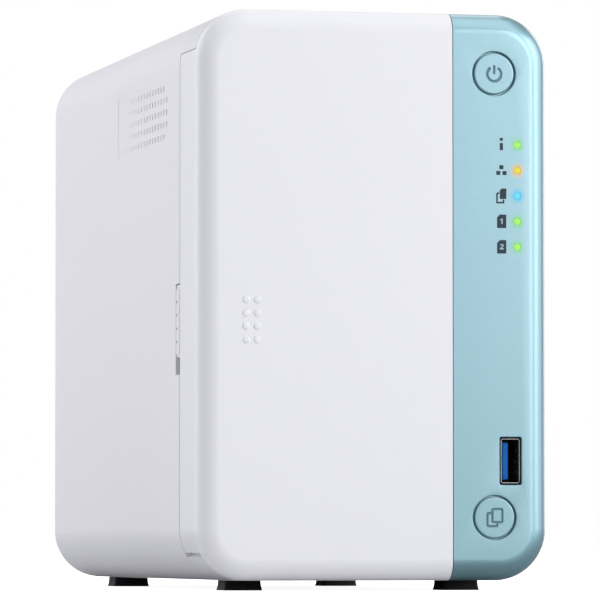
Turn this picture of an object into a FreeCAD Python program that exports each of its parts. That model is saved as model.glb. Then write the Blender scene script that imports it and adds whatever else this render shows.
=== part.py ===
import FreeCAD, Part
import os

# Two-bay desktop storage box. Millimetres, +Z up, +X to the right of the front, front towards -Y.
# The origin is on the ground under the middle of the case.

V = FreeCAD.Vector

# overall
width = 105.0              # case, left to right
depth = 226.0              # cover face to rear rim
height = 169.0             # ground to top
foot_height = 3.0          # ground to underside
corner = 15.0              # edge radius seen from the front
wall = 2.2                 # moulded case and cover
front_round = 6.2          # rounding of the front edges
rim = 6.6                  # depth of the cover and panel rims
joint_gap = 0.4            # visible line between outer pieces
split = 23.35              # cover meets control panel here
flange_rear = 26.4         # depth of the cover's left flange
flange_low = 11.1
flange_high = height - 11.7
side_gap = 0.8             # behind the flange
low_gap = 1.4              # under the flange

# bays and drives
drive_thick = 26.1
drive_tall = 101.6
drive_long = 147.0
bay_pitch = 34.2
sheet = 1.0                # drive cage metal
slide_gap = 0.8            # tray to cage wall
plate_gap = 0.4            # tray face to bezel opening
bezel_thick = 2.5
bezel_setback = 25.0       # bezel face behind the cover face
tray_face = 3.5
tray_tall = 118.0
arm_thick = 2.4
lever_long = 62.0
pin_r = 1.0
run_gap = 0.05             # lever on its pin

# control strip
button_r = 6.1
button_gap = 0.42
button_low = 21.3
button_high = height - 17.8
button_side = 16.7         # from the right edge of the case
light_side = 9.65
light_r = 1.15
light_top = height - 38.6
light_pitch = 7.48
usb_side = 11.85
usb_z = 37.85
usb_w = 5.8
usb_h = 13.1
press = 1.2                # button travel

# lock slider
lock_low = 68.5
lock_high = 89.7
lock_travel = 5.0
lock_gap = 0.4

# rear
rear_set = 2.0
rear_thick = 2.0
fan_side = 70.0
fan_deep = 15.0
fan_edge = 1.7             # frame beside the bore
board_gap = 3.0            # cage to main board
board_thick = 1.6

hw = width / 2
front = -depth / 2
rear = depth / 2
base = foot_height
left_in = -hw + wall
roof_in = height - wall
rim_back = front + rim
case_front = rim_back + joint_gap
bezel_front = front + bezel_setback
bezel_back = bezel_front + bezel_thick
face_back = bezel_front + tray_face
mid_z = (base + height) / 2 - 1.5
bay_half = bay_pitch / 2 - sheet / 2
bay_1 = left_in + 0.5 + sheet + bay_half
bay_2 = bay_1 + bay_pitch
bays = (bay_1, bay_2)
cage_right = bay_2 + bay_half + sheet
board_x = cage_right + board_gap
tray_half = bay_half - slide_gap
drive_low = mid_z - drive_tall / 2
drive_high = mid_z + drive_tall / 2
arm_low = drive_low - 0.3 - arm_thick
arm_high = drive_high + 0.3 + arm_thick
tray_low = mid_z - tray_tall / 2
tray_high = mid_z + tray_tall / 2
cage_floor = tray_low + 2.5
cage_roof = tray_high - 2.5
drive_front = face_back + 2.0
drive_rear = drive_front + drive_long
board_front = front + 13.0
panel_x = hw - button_side
light_x = hw - light_side
usb_x = hw - usb_side
io_x = board_x + board_thick
panel_rear = rear - rear_set
panel_front = panel_rear - rear_thick
fan_bore = fan_side / 2 - fan_edge
fan_x = left_in + 1.3 + fan_side / 2
fan_z = height - 58.5
fan_back = panel_front
fan_front = fan_back - fan_deep
io_y = panel_rear + 0.5


def box(x0, x1, y0, y1, z0, z1):
    return Part.makeBox(x1 - x0, y1 - y0, z1 - z0, V(x0, y0, z0))


def rod(axis, r, x, y, z, length):
    """Cylinder that starts at x, y, z and runs along the named axis."""
    d = {"x": V(1, 0, 0), "y": V(0, 1, 0), "z": V(0, 0, 1)}[axis]
    return Part.makeCylinder(r, length, V(x, y, z), d)


def fuse(shapes):
    out = shapes[0]
    if len(shapes) > 1:
        out = out.fuse(shapes[1:])
    return out.removeSplitter()


def outline(x0, x1, z0, z1, r, y0, y1, front_r=0.0):
    """Block with four rounded long edges, and its front edges rounded when front_r is given."""
    body = box(x0, x1, y0, y1, z0, z1)
    long_edges = [e for e in body.Edges if abs(e.tangentAt(e.FirstParameter).y) > 0.9]
    body = body.makeFillet(r, long_edges)
    if front_r:
        rim_edges = [e for e in body.Edges if e.BoundBox.YMax < y0 + 1e-6]
        body = body.makeFillet(front_r, rim_edges)
    return body


def rounded(shape, r, axis):
    """Round the straight edges that run along the named axis."""
    pick = []
    for e in shape.Edges:
        if e.Curve.TypeId == "Part::GeomLine" and abs(getattr(e.tangentAt(0), axis)) > 0.99:
            pick.append(e)
    return shape.makeFillet(r, pick)


def prism(points, axis, start, length):
    """Straight extrusion of a closed outline given in the two other axes, in X, Y, Z order."""
    order = {"x": (2, 0, 1), "y": (0, 2, 1), "z": (0, 1, 2)}[axis]
    loop = []
    for a, b in points:
        given = (a, b, start)
        loop.append(V(*[given[k] for k in order]))
    push = {"x": V(length, 0, 0), "y": V(0, length, 0), "z": V(0, 0, length)}[axis]
    return Part.Face(Part.makePolygon(loop + loop[:1])).extrude(push)


nodes = {}


def node(name, *shapes):
    solids = []
    for s in shapes:
        solids.extend(s.Solids)
    nodes[name] = solids[0] if len(solids) == 1 else Part.makeCompound(solids)


# ---- outer blocks shared by the cover, the panel and the case
shell_out = outline(-hw, hw, base, height, corner, front, rear, front_round)
shell_in = outline(-hw + wall, hw - wall, base + wall, height - wall, corner - wall,
                   front + wall, rear + 5, front_round - wall)

# ---- front cover: hollow lid, wraps on to the left side
lid = shell_out.cut(shell_in)
lid_front = lid.common(box(-hw - 1, split - joint_gap / 2, front - 1, rim_back, 0, height + 1))
flange_back = front + flange_rear
lid_side = lid.common(box(-hw - 1, -hw + corner / 2, front, flange_back, flange_low, flange_high))
parts = [lid_front, lid_side]
for z in (flange_low + 3.4, flange_high - 8.0):
    for x in (-30.0, 12.0):
        parts.append(box(x, x + 7, front + wall - 0.2, bezel_front - 0.8, z, z + 4))
for x in (-24.0, -6.0, 8.0):
    parts.append(box(x, x + 1.2, front + wall - 0.2, front + wall + 1.4, 20, height - 24))
grip_x = (-38.45, -35.15)
grip_z = [72.7 + 3.87 * k for k in range(4)]
for x in grip_x:
    for z in grip_z:
        ball = Part.makeSphere(1.6, V(x, front + 1.25, z))
        parts.append(ball.common(box(x - 2, x + 2, front - 1, front + 0.3, z - 2, z + 2)))
node("front_cover", fuse(parts))

# ---- case cover: wrap of left side, roof and right side
wrap = shell_out.cut(shell_in).common(box(-hw - 1, hw + 1, case_front, rear + 1, 0, height + 1))
open_x = hw - corner + 2.0
lock_front = flange_back + 0.7
lock_back = flange_back + 5.8
cuts = [box(-open_x, open_x, front, rear + 1, 0, base + 6),
        box(-hw - 1, -hw + corner / 2 + 1, front, flange_back + side_gap,
            flange_low - low_gap, flange_high + 0.3),
        box(-hw - 1, left_in + 1, flange_back, lock_back + lock_gap,
            lock_low - lock_travel - 0.2, lock_high + 0.4)]
vent_rear = 7.2
vent_top = height - 17.4
vent_deep = 0.5
slit_y = 2.1
slit_z = 1.6                               # at the front, shorter towards the rear
slit_pitch = 4.24
row_pitch = 3.6
for side in (-1, 1):
    ramp = [(side * (hw - vent_deep), vent_rear), (side * (hw + 1), vent_rear),
            (side * (hw + 1), vent_rear - 82), (side * hw, vent_rear - 82)]
    cuts.append(prism(ramp, "z", vent_top - 18.4, 18.4))
    for row in range(5):
        z = vent_top - 2.4 - row * row_pitch
        for k in range(16 if row in (0, 4) else 17):
            y = vent_rear - 6.7 - k * slit_pitch
            half = slit_z / 2 * (0.55 + 0.45 * min(k / 6, 1))
            x0, x1 = sorted((side * (hw + 1), side * (hw - wall - 1)))
            cuts.append(box(x0, x1, y - slit_y / 2, y + slit_y / 2, z - half, z + half))
wrap = wrap.cut(cuts)
boss_z = roof_in - 6.0
bosses = [box(x - 4, x + 4, panel_front - 8.2, panel_front - 0.2, boss_z, roof_in + 0.5) for x in (-30, 30)]
wrap = fuse([wrap] + bosses)
screw_x = (-30, 30)
wrap = wrap.cut([rod("y", 1.45, x, panel_front - 6, boss_z + 3, 7) for x in screw_x])
node("case_cover", wrap)

# ---- bottom panel: metal tray with air slots and foot holes
floor_thick = 1.2
floor_x = open_x - 0.3
floor_top = base + floor_thick
floor = [box(-floor_x, floor_x, case_front + 1.5, panel_rear, base, floor_top)]
floor += [box(s * floor_x - (1.2 if s > 0 else 0), s * floor_x + (0 if s > 0 else 1.2),
              bezel_back + 1, panel_front - 0.3, base, base + 7) for s in (-1, 1)]
floor += [box(x - 4, x + 4, panel_front - 8.3, panel_front - 0.3, base, base + 8) for x in screw_x]
floor = fuse(floor)
foot_at = [(s * x, y) for x, y in ((hw - 19.5, front + 34.0), (hw - 18.0, rear - 33.0)) for s in (-1, 1)]
holes = [rod("z", 2.2, x, y, base - 1, 4) for x, y in foot_at]
holes += [rod("y", 1.45, x, panel_front - 7, base + 5, 8) for x in screw_x]
for k in range(11):
    y = -50 + 10 * k
    holes.append(rounded(box(-20, 20, y, y + 3.2, base - 1, base + 3), 1.5, "z"))
node("bottom_panel", floor.cut(holes))

# ---- feet: rubber, wider at the ground, pushed into the floor by a bulbed stud
foot_low = 5.8
foot_top = 5.4
around = ((-1, -1), (1, -1), (1, 1), (-1, 1), (-1, -1))
for (x, y), name in zip(foot_at, ("front_left", "front_right", "rear_left", "rear_right")):
    low = Part.makePolygon([V(x + a * foot_low, y + b * foot_low, 0) for a, b in around])
    top = Part.makePolygon([V(x + a * foot_top, y + b * foot_top, base) for a, b in around])
    pad = Part.makeLoft([low, top], True, True)
    stud = rod("z", 2.1, x, y, base - 0.5, floor_thick + 0.7)
    bulb = Part.makeCone(2.9, 1.6, 2.2, V(x, y, floor_top + 0.1))
    node("foot_" + name, fuse([pad, stud, bulb]))

# ---- front bezel: recessed frame round the two tray openings
bay_left = bay_1 - tray_half - plate_gap
bay_right = bay_2 + tray_half + plate_gap
frame_low = base + wall + 1.2
frame_high = roof_in - 0.4
bezel_right = split - 1.2
inner = outline(-hw + wall + 0.4, hw - wall - 0.4, base + wall + 0.4, roof_in - 0.4, corner - wall - 0.4,
                case_front + 0.6, bezel_back)
plate = inner.common(box(-hw, bezel_right, bezel_front, bezel_back, frame_low, height))
web = box(bezel_right - 1.8, bezel_right, case_front + 0.6, bezel_back, frame_low + 1, frame_high - 1)
shelf_top = inner.common(box(-hw + corner, bezel_right, case_front + 0.6, bezel_back, frame_high - 2, height))
shelf_low = box(-hw + corner, bezel_right, case_front + 0.6, bezel_back, frame_low, frame_low + 1.8)
rails = [box(-44, bezel_right - 1, bezel_front - 4, bezel_front + 0.2, z, z + 1.6)
         for z in (flange_low + 0.8, flange_high - 3.2)]
bezel = fuse([plate, web, shelf_top, shelf_low] + rails)
tray_holes = []
for c in bays:
    x0 = c - tray_half - plate_gap
    x1 = c + tray_half + plate_gap
    tray_holes.append(box(x0, x1, bezel_front - 1, bezel_back + 1,
                          tray_low - plate_gap, tray_high + plate_gap))
for k in range(9):
    x = -30 + 5.4 * k
    air = box(x, x + 2.4, bezel_front - 1, bezel_back + 1, tray_high + 12, tray_high + 17)
    tray_holes.append(rounded(air, 1.0, "y"))
tray_holes.append(box(-hw, left_in + 2.2, lock_front - 4, lock_back + 2, lock_low - 12, lock_high + 4))
node("front_bezel", bezel.cut(tray_holes))

# ---- control panel: metallic strip at the right of the front
strip = lid.common(box(split + joint_gap / 2, hw + 1, front - 1, rim_back, 0, height + 1))
skirt_out = outline(-hw + wall + 0.1, hw - wall - 0.1, base + wall + 0.1, roof_in - 0.1, corner - wall - 0.1,
                    front + wall, case_front + 5)
skirt_in = outline(-hw + wall + 1.7, hw - wall - 1.7, base + wall + 1.7, roof_in - 1.7, corner - wall - 1.7,
                   front + wall - 1, case_front + 6)
skirt = skirt_out.cut(skirt_in).common(box(split + 1.2, hw, rim_back - 2.5, case_front + 3, 0, height))
back_rib = box(split + joint_gap / 2, split + 1.8, front + wall - 0.4, case_front, base + 5, height - 5)
strip = fuse([strip, skirt, back_rib])
light_z = [light_top - k * light_pitch for k in range(5)]
open_front = [rod("y", button_r + button_gap, panel_x, front - 1, z, 12) for z in (button_low, button_high)]
open_front += [rod("y", light_r, light_x, front - 1, z, 12) for z in light_z]
open_front.append(box(usb_x - usb_w / 2 - 0.35, usb_x + usb_w / 2 + 0.35, front - 1, front + 12,
                      usb_z - usb_h / 2 - 0.4, usb_z + usb_h / 2 + 0.4))
strip = strip.cut(open_front)
collars = []
for z in (button_low, button_high):
    ring = rod("y", button_r + 1.9, panel_x, front + wall - 0.2, z, 3.4)
    collars.append(ring.cut(rod("y", button_r + button_gap, panel_x, front, z, 12)))
strip = fuse([strip] + collars)

# printed marks beside the lights: letter i, three squares, two pages, numerals on tiles
mark_x = light_x - 4.85
mark_deep = 0.2
marks = []


def mark(x0, x1, z0, z1):
    return box(mark_x + x0, mark_x + x1, front, front + mark_deep, z0, z1)


def tile(x0, x1, z0, z1, cut_corner):
    pts = [(mark_x + x0, z0), (mark_x + x1, z0), (mark_x + x1, z1), (mark_x + x0 + cut_corner, z1),
           (mark_x + x0, z1 - cut_corner)]
    return prism(pts, "y", front, mark_deep)


z = light_z[0]
marks.append(mark(-0.42, 0.42, z + 1.25, z + 1.9))
marks.append(mark(-0.42, 0.42, z - 1.5, z + 0.35))
z = light_z[1]
for x, up in ((0.0, 0.9), (-0.95, -0.8), (0.95, -0.8)):
    marks.append(mark(x - 0.55, x + 0.55, z + up - 0.52, z + up + 0.52))
z = light_z[2]
marks.append(tile(-0.5, 1.5, z - 0.92, z + 2.15, 0.6))
sheet_low = tile(-1.55, 0.84, z - 2.2, z + 0.95, 0.4)
hollow = tile(-1.19, 0.48, z - 1.84, z + 0.59, 0.2)
marks.append(sheet_low.cut(hollow).cut(mark(-0.68, 1.85, z - 1.1, z + 2.4)))
stroke = {3: ((-0.02, 0.36, -0.8, 0.8), (-0.32, 0.0, 0.35, 0.65)),
          4: ((-0.45, 0.65, 0.5, 0.8), (0.35, 0.65, 0.0, 0.8), (-0.45, 0.65, -0.08, 0.2),
              (-0.45, -0.15, -0.7, 0.1), (-0.45, 0.65, -0.75, -0.45))}
for k, bars in stroke.items():
    z = light_z[k]
    digit = fuse([mark(a, b, z + c, z + d) for a, b, c, d in bars])
    marks.append(tile(-1.33, 1.45, z - 1.98, z + 1.98, 0.85).cut(digit))
node("control_panel", strip.cut(marks))
node("panel_marks", *marks)

# ---- light pipes, from the strip to the lights on the board behind
for z, name in zip(light_z, ("status", "lan", "copy", "drive_1", "drive_2")):
    pipe = rod("y", light_r, light_x, front + 0.1, z, board_front - 1.2 - front)
    foot = rod("y", light_r + 0.6, light_x, board_front - 2.6, z, 1.5)
    node("light_pipe_" + name, fuse([pipe, foot]))

# ---- push buttons with engraved marks
seat = board_front - 2.5                  # face of the switch plunger


def page_line(x0, x1, z0, z1):
    """Outline of a page, 0.4 wide, cut into the copy button's face."""
    a = box(panel_x + x0, panel_x + x1, front - 1, front + 0.35, button_low + z0, button_low + z1)
    b = box(panel_x + x0 + 0.4, panel_x + x1 - 0.4, front - 2, front + 1,
            button_low + z0 + 0.4, button_low + z1 - 0.4)
    return a.cut(b)


ring = rod("y", 2.15, panel_x, front, button_high, 0.35)
ring = ring.cut(rod("y", 1.65, panel_x, front - 1, button_high, 3))
ring = ring.cut(box(panel_x - 0.75, panel_x + 0.75, front - 1, front + 1, button_high, button_high + 3))
stroke = box(panel_x - 0.25, panel_x + 0.25, front - 1, front + 0.35, button_high + 0.3, button_high + 2.5)
page = box(panel_x - 0.7, panel_x + 2.3, front - 2, front + 2, button_low - 1.3, button_low + 2.5)
signs = {"power": [ring, stroke],
         "copy": [page_line(-0.7, 2.3, -1.3, 2.5), page_line(-2.3, 0.9, -2.6, 1.2).cut(page)]}
for name, z in (("power", button_high), ("copy", button_low)):
    cap = rod("y", button_r, panel_x, front + 0.05, z, 4.0)
    top_edges = [e for e in cap.Edges if e.BoundBox.YMax < front + 0.1]
    cap = cap.makeFillet(0.35, top_edges)
    stem = rod("y", 2.4, panel_x, front + 3.8, z, seat - press - 0.35 - front - 3.8)
    node(name + "_button", fuse([cap, stem]).cut(signs[name]))

# ---- front USB socket standing upright, tongue at its left
usb_back = board_front - 0.1
tube = box(usb_x - usb_w / 2, usb_x + usb_w / 2, front + 0.4, usb_back, usb_z - usb_h / 2, usb_z + usb_h / 2)
tube = rounded(tube, 0.6, "y")
bore = box(usb_x - usb_w / 2 + 0.35, usb_x + usb_w / 2 - 0.35, front, usb_back - 1.0,
           usb_z - usb_h / 2 + 0.35, usb_z + usb_h / 2 - 0.35)
node("usb_front_shell", tube.cut(bore))
tongue_x = usb_x - usb_w / 2 + 0.7
tongue = box(tongue_x, tongue_x + 1.8, front + 1.4, usb_back - 1.0, usb_z - 5.4, usb_z + 5.4)
block = box(usb_x - usb_w / 2 + 0.4, usb_x + usb_w / 2 - 0.4, usb_back - 2.4, usb_back - 1.05,
            usb_z - usb_h / 2 + 0.4, usb_z + usb_h / 2 - 0.4)
node("usb_front_tongue", fuse([tongue, block]))

# ---- front board, its lights and switches
board_lo = base + 8
board_hi = height - 8
board = box(split + 3.2, hw - 6.5, board_front, board_front + board_thick, board_lo, board_hi)
node("front_board", board)
node("board_lights", *[box(light_x - 0.8, light_x + 0.8, board_front - 1.0, board_front, q - 0.8, q + 0.8)
                       for q in light_z])
reset_x = io_x + 6.0
reset_z = height - 26.0
reset_y = panel_rear - 9.0


def switch(x, y, z, flip):
    """Tact switch body with its plunger towards -Y, or towards +Y when flip is set."""
    if flip:
        return fuse([box(x - 3, x + 3, y, y + 1.7, z - 3, z + 3), rod("y", 1.6, x, y + 1.6, z, 0.9)])
    return fuse([box(x - 3, x + 3, y - 1.7, y, z - 3, z + 3), rod("y", 1.6, x, y - 2.5, z, 0.9)])


reset_block = box(io_x, io_x + 9.2, reset_y - 1.2, reset_y, reset_z - 3, reset_z + 3)
node("tact_switches", switch(panel_x, board_front, button_high, False),
     switch(panel_x, board_front, button_low, False), switch(reset_x, reset_y, reset_z, True))

# ---- cover lock: slider with five grip pads in a slot behind the cover's edge
cap = box(-hw + 0.3, left_in + 0.6, lock_front, lock_back, lock_low, lock_high)
keep = box(left_in + 0.35, left_in + 1.35, lock_front - 2.2, lock_back + 1.8, lock_low - 1.5, lock_high + 1.5)
pads = []
for k in range(5):
    z = lock_low + 0.72 + 3.97 * k
    pads.append(box(-hw, -hw + 0.7, lock_front + 0.3, lock_back - 0.3, z, z + 3.33))
node("cover_lock", fuse([cap, keep] + pads))

# ---- trays
for n, c in enumerate(bays, 1):
    x0 = c - tray_half
    x1 = c + tray_half
    face = rounded(box(x0, x1, bezel_front, face_back, tray_low, tray_high), 1.5, "y")
    holes = []
    for k in range(18):
        z = tray_low + 8 + 6 * k
        for x in (c - 11.6, c + 11.6):
            air = box(x - 2.6, x + 2.6, bezel_front - 1, face_back + 1, z - 1.5, z + 1.5)
            holes.append(rounded(air, 1.2, "y"))
    face = face.cut(holes)
    pivot_z = mid_z + lever_long / 2 + 3
    pivot_y = bezel_front - 3.0
    ears = []
    for a in (-1, 1):
        e = fuse([box(c + a * 7.1 - 1, c + a * 7.1 + 1, pivot_y, bezel_front + 0.2, pivot_z - 3, pivot_z + 3),
                  rod("x", 3.0, c + a * 7.1 - 1, pivot_y, pivot_z, 2)])
        ears.append(e.cut(rod("x", pin_r, c - 10, pivot_y, pivot_z, 20)))
    catch_z = mid_z - lever_long / 2 - 7.5
    catch = box(c - 4, c + 4, bezel_front - 1.6, bezel_front + 0.2, catch_z, catch_z + 2)
    arms = [box(c - 14.6, c + 13.4, face_back - 0.2, drive_rear - 6, arm_low, arm_low + arm_thick),
            box(c - 14.6, c + 13.4, face_back - 0.2, drive_rear - 6, arm_high - arm_thick, arm_high)]
    flank = box(c - 15.2, c - 13.8, face_back - 0.2, drive_rear - 6, arm_low, arm_high)
    windows = []
    for k in range(3):
        y = face_back + 8 + 46 * k
        windows.append(rounded(box(c - 17, c - 12, y, y + 34, arm_low + 16, arm_high - 16), 6.0, "x"))
    frame = fuse([face, catch, flank.cut(windows)] + arms + ears)
    bite = []
    heads = []
    fix_y = (drive_front + 28.5, drive_front + 130.1 - 8)
    for y in fix_y:
        for z, a in ((arm_low, 1), (arm_high, -1)):
            lo = z if a > 0 else z - 1.3
            bite.append(rod("z", 2.9, c, y, lo, 1.3))
            bite.append(rod("z", 1.6, c, y, z if a > 0 else z - arm_thick, arm_thick))
            head = rod("z", 2.6, c, y, z + 0.1 if a > 0 else z - 1.3, 1.2)
            shank = rod("z", 1.4, c, y, z + 1.2 if a > 0 else z - 1.2 - 5.0, 5.0)
            slot_z = (z - 1, z + 0.5) if a > 0 else (z - 0.5, z + 1)
            cross = box(c - 1.5, c + 1.5, y - 0.35, y + 0.35, slot_z[0], slot_z[1])
            heads.append(fuse([head, shank]).cut(cross))
    node("tray_frame_%d" % n, frame.cut(bite))
    node("drive_screws_%d" % n, *heads)

    # lever: barrel at the top, finger tab and latch at the bottom
    low = mid_z - lever_long / 2 - 2
    barrel = rod("x", 2.4, c - 5.8, pivot_y, pivot_z, 11.6)
    blade = rounded(box(c - 5.6, c + 5.6, bezel_front - 4.4, bezel_front - 2.2, low, pivot_z), 1.0, "y")
    edge = [box(c + a - 0.6, c + a + 0.6, bezel_front - 4.6, bezel_front - 0.8, low + 3, pivot_z - 4)
            for a in (-5.0, 5.0)]
    tab = box(c - 5.0, c + 5.0, bezel_front - 5.4, bezel_front - 4.2, low + 1, low + 9)
    grip = [box(c - 4.2, c + 4.2, bezel_front - 5.8, bezel_front - 5.2, low + 2 + a, low + 2.8 + a)
            for a in (0, 1.6, 3.2, 4.8)]
    lever = fuse([barrel, blade, tab] + edge + grip)
    slot = rounded(box(c - 2.6, c + 2.6, bezel_front - 7, bezel_front, low + 14, pivot_z - 8), 2.0, "y")
    node("lever_%d" % n, lever.cut([rod("x", pin_r + run_gap, c - 10, pivot_y, pivot_z, 20), slot]))
    node("lever_pin_%d" % n, rod("x", pin_r, c - 8.4, pivot_y, pivot_z, 16.8))

    # drive: cast body, stepped lid, controller board, blind screw holes
    d0 = c - drive_thick / 2
    d1 = c + drive_thick / 2
    cast = rounded(box(d0 + 1.7, d1 - 1.1, drive_front, drive_rear, drive_low, drive_high), 2.5, "x")
    cast = cast.cut([rod("z", 1.5, c, y, z, 5.0) for y in fix_y for z in (drive_low - 0.2, drive_high - 4.8)])
    cast = cast.cut(box(d0, c - 2.5, drive_rear - 5.0, drive_rear + 1, drive_low + 12, drive_low + 62))
    node("drive_body_%d" % n, cast)
    lid_plate = box(d1 - 1.1, d1 - 0.3, drive_front + 1, drive_rear - 1, drive_low + 1, drive_high - 1)
    lid_plate = rounded(lid_plate, 2.5, "x")
    dish = rod("x", 43.0, d1 - 0.4, drive_front + 49, mid_z, 0.4)
    dish = dish.common(box(d0, d1, drive_front + 4, drive_rear, drive_low + 4, drive_high - 4))
    node("drive_lid_%d" % n, fuse([lid_plate, dish]))
    green = box(d0 + 0.1, d0 + 1.6, drive_front + 60, drive_rear - 4.6, drive_low + 8, drive_high - 8)
    chips = [box(d0 + 1.5, d0 + 1.7, drive_front + a, drive_front + a + 12, mid_z - 10, mid_z + 2)
             for a in (80, 98, 116)]
    plug = box(c - 9.0, c - 3.0, drive_rear - 4.2, drive_rear - 0.3, drive_low + 14, drive_low + 56)
    plug_link = box(d0 + 0.1, c - 8.8, drive_rear - 4.7, drive_rear - 0.3, drive_low + 14, drive_low + 56)
    key = box(c - 6.6, c - 2.9, drive_rear - 3.2, drive_rear, drive_low + 16, drive_low + 54)
    node("drive_board_%d" % n, fuse([green, plug, plug_link] + chips).cut(key))

# ---- drive cage: folded sheet metal with a divider and four legs
cage_front = lock_back + 5.0
cage_back = drive_rear + 2.0
cage = [box(bay_1 - bay_half - sheet, cage_right, cage_front, cage_back, cage_floor - sheet, cage_floor),
        box(bay_1 - bay_half - sheet, cage_right, cage_front, cage_back, cage_roof, cage_roof + sheet),
        box(bay_1 - bay_half - sheet, bay_1 - bay_half, cage_front, cage_back,
            cage_floor - sheet, cage_roof + sheet),
        box(cage_right - sheet, cage_right, cage_front, cage_back, cage_floor - sheet, cage_roof + sheet),
        box(bay_1 + bay_half, bay_1 + bay_half + sheet, cage_front, cage_back,
            cage_floor - 0.5, cage_roof + 0.5)]
for x in (-open_x + 8, cage_right - 9):
    for y in (cage_front + 18, cage_back - 22):
        cage.append(box(x, x + 1.2, y, y + 12, floor_top, cage_floor - 0.5))
        cage.append(box(x - 5, x + 1.2, y, y + 12, floor_top, floor_top + 1.0))
post_at = [(y, z) for y in (cage_front + 15.4, cage_back - 26.5) for z in (cage_floor + 12, cage_roof - 12)]
cage += [rod("x", 3.0, cage_right - 0.5, y, z, board_x - cage_right + 0.5) for y, z in post_at]
cage = fuse(cage)
air = []
for k in range(5):
    for m in range(4):
        y = cage_front + 14 + 26 * k
        z = cage_floor + 18 + 22 * m
        hole = box(bay_1 - bay_half - 3, cage_right - sheet - 0.5, y, y + 16, z, z + 12)
        air.append(rounded(hole, 3.0, "x"))
air += [rod("x", 1.3, cage_right - 3, y, z, 20) for y, z in post_at]
node("drive_cage", cage.cut(air))

# ---- tray guides: slim rails on the cage floor and roof, beside each tray's arms
guide_len = (cage_front + 6, cage_back - 14)
guides = []
for c in bays:
    for a in (-1, 1):
        g0, g1 = sorted((c + a * bay_half, c + a * (bay_half - 5.0)))
        guides.append(box(g0, g1, guide_len[0], guide_len[1], cage_floor, arm_low - 0.5))
        guides.append(box(g0, g1, guide_len[0], guide_len[1], arm_high + 0.5, cage_roof))
node("tray_guides", *guides)

# ---- backplane behind the drives, with one socket for each
bp_front = cage_back + 4.0
bp = box(bay_1 - bay_half + 1, cage_right - 3, bp_front, bp_front + board_thick,
         cage_floor + 2, cage_roof - 2)
air = [box(c - 2, c + 10, bp_front - 1, bp_front + 3, mid_z - 2, mid_z + 44) for c in bays]
bp = bp.cut([rounded(a, 3.0, "y") for a in air])
node("backplane", bp)
sockets = []
for c in bays:
    s = box(c - 8.6, c - 3.2, drive_rear + 0.3, bp_front, drive_low + 13, drive_low + 57)
    sockets.append(s.cut(box(c - 6.8, c - 5.0, drive_rear, drive_rear + 3, drive_low + 16, drive_low + 54)))
node("drive_sockets", *sockets)

# ---- main board standing beside the cage, parts towards the right wall
mb_front = board_front + board_thick + 6
mb_back = panel_front - 1.0
mb = box(board_x, io_x, mb_front, mb_back, base + 10, height - 10)
mb = mb.cut([rod("x", 1.6, board_x - 1, y, z, 4) for y, z in post_at])
chip_at = ((mb_front + 8.4, mid_z - 0.5, 14, 14), (mb_front + 52.4, base + 31, 9, 9),
           (mb_back - 46, height - 103, 10, 10), (mb_back - 42, height - 77, 8, 6),
           (mb_front + 18.4, cage_roof - 33, 12, 8), (mb_back - 88, base + 27, 12, 9))
chips = [box(io_x, io_x + 1.4, y, y + a, z, z + b) for y, z, a, b in chip_at]
cap_at = [(mb_back - a, base + b) for a, b in ((38, 41), (30, 41), (38, 49))]
cap_at += [(mb_front + 12.4, base + b) for b in (57, 65)]
caps = [rod("x", 3.0, io_x, y, z, 8.0) for y, z in cap_at]
header = box(io_x, io_x + 6.0, mb_front, mb_front + 6, 70, 84)
link = box(io_x + 0.2, io_x + 5.8, board_front + board_thick, mb_front, 71, 83)
node("mainboard", fuse([mb] + chips + caps + [header]))
nodes["front_board"] = fuse([board, link])
screws = []
for y, z in post_at:
    s = fuse([rod("x", 2.8, io_x, y, z, 1.3), rod("x", 1.3, io_x - 4.6, y, z, 4.8)])
    screws.append(s.cut(box(io_x + 0.8, io_x + 3, y - 0.35, y + 0.35, z - 1.8, z + 1.8)))
node("board_screws", *screws)

# ---- heat sink, memory, coin cell
mem_z = height - 42.5
sink_low = base + 59
sink_top = mem_z - 20.5
chip_z = (sink_low + sink_top) / 2
sink = [box(io_x + 1.4, io_x + 4.4, -30, 14, sink_low, sink_top)]
sink += [box(io_x + 4.2, io_x + 18, -30 + 4.3 * k, -28.8 + 4.3 * k, sink_low, sink_top) for k in range(11)]
chip = box(io_x, io_x + 1.4, -20, 4, chip_z - 12, chip_z + 12)
node("heatsink", fuse(sink + [chip]))
sock = fuse([box(io_x, io_x + 5.2, -35, 33, mem_z - 6, mem_z - 1),
             box(io_x, io_x + 5.2, -37, -34.2, mem_z - 6, mem_z + 22),
             box(io_x, io_x + 5.2, 32.2, 35, mem_z - 6, mem_z + 22)])
slot = box(io_x + 2.4, io_x + 3.8, -34.2, 32.2, mem_z - 3.6, mem_z)
node("memory_socket", sock.cut(slot))
stick = [box(io_x + 2.6, io_x + 3.6, -33.8, 31.8, mem_z - 3.4, mem_z + 25)]
stick += [box(io_x + 3.4, io_x + 4.8, y, y + 11, mem_z + 4, mem_z + 18) for y in (-29, -13.8, 1.4, 16.6)]
node("memory_module", fuse(stick))
cell_y = -8.0
cell_z = base + 35
node("coin_cell", rod("x", 10.0, io_x + 1.2, cell_y, cell_z, 3.2))
clip = [rod("x", 11.4, io_x, cell_y, cell_z, 1.1)]
clip += [box(io_x, io_x + 4.8, cell_y - 2, cell_y + 2, cell_z + a, cell_z + a + 1.3) for a in (-11.5, 10.2)]
node("cell_holder", fuse(clip))

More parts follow.
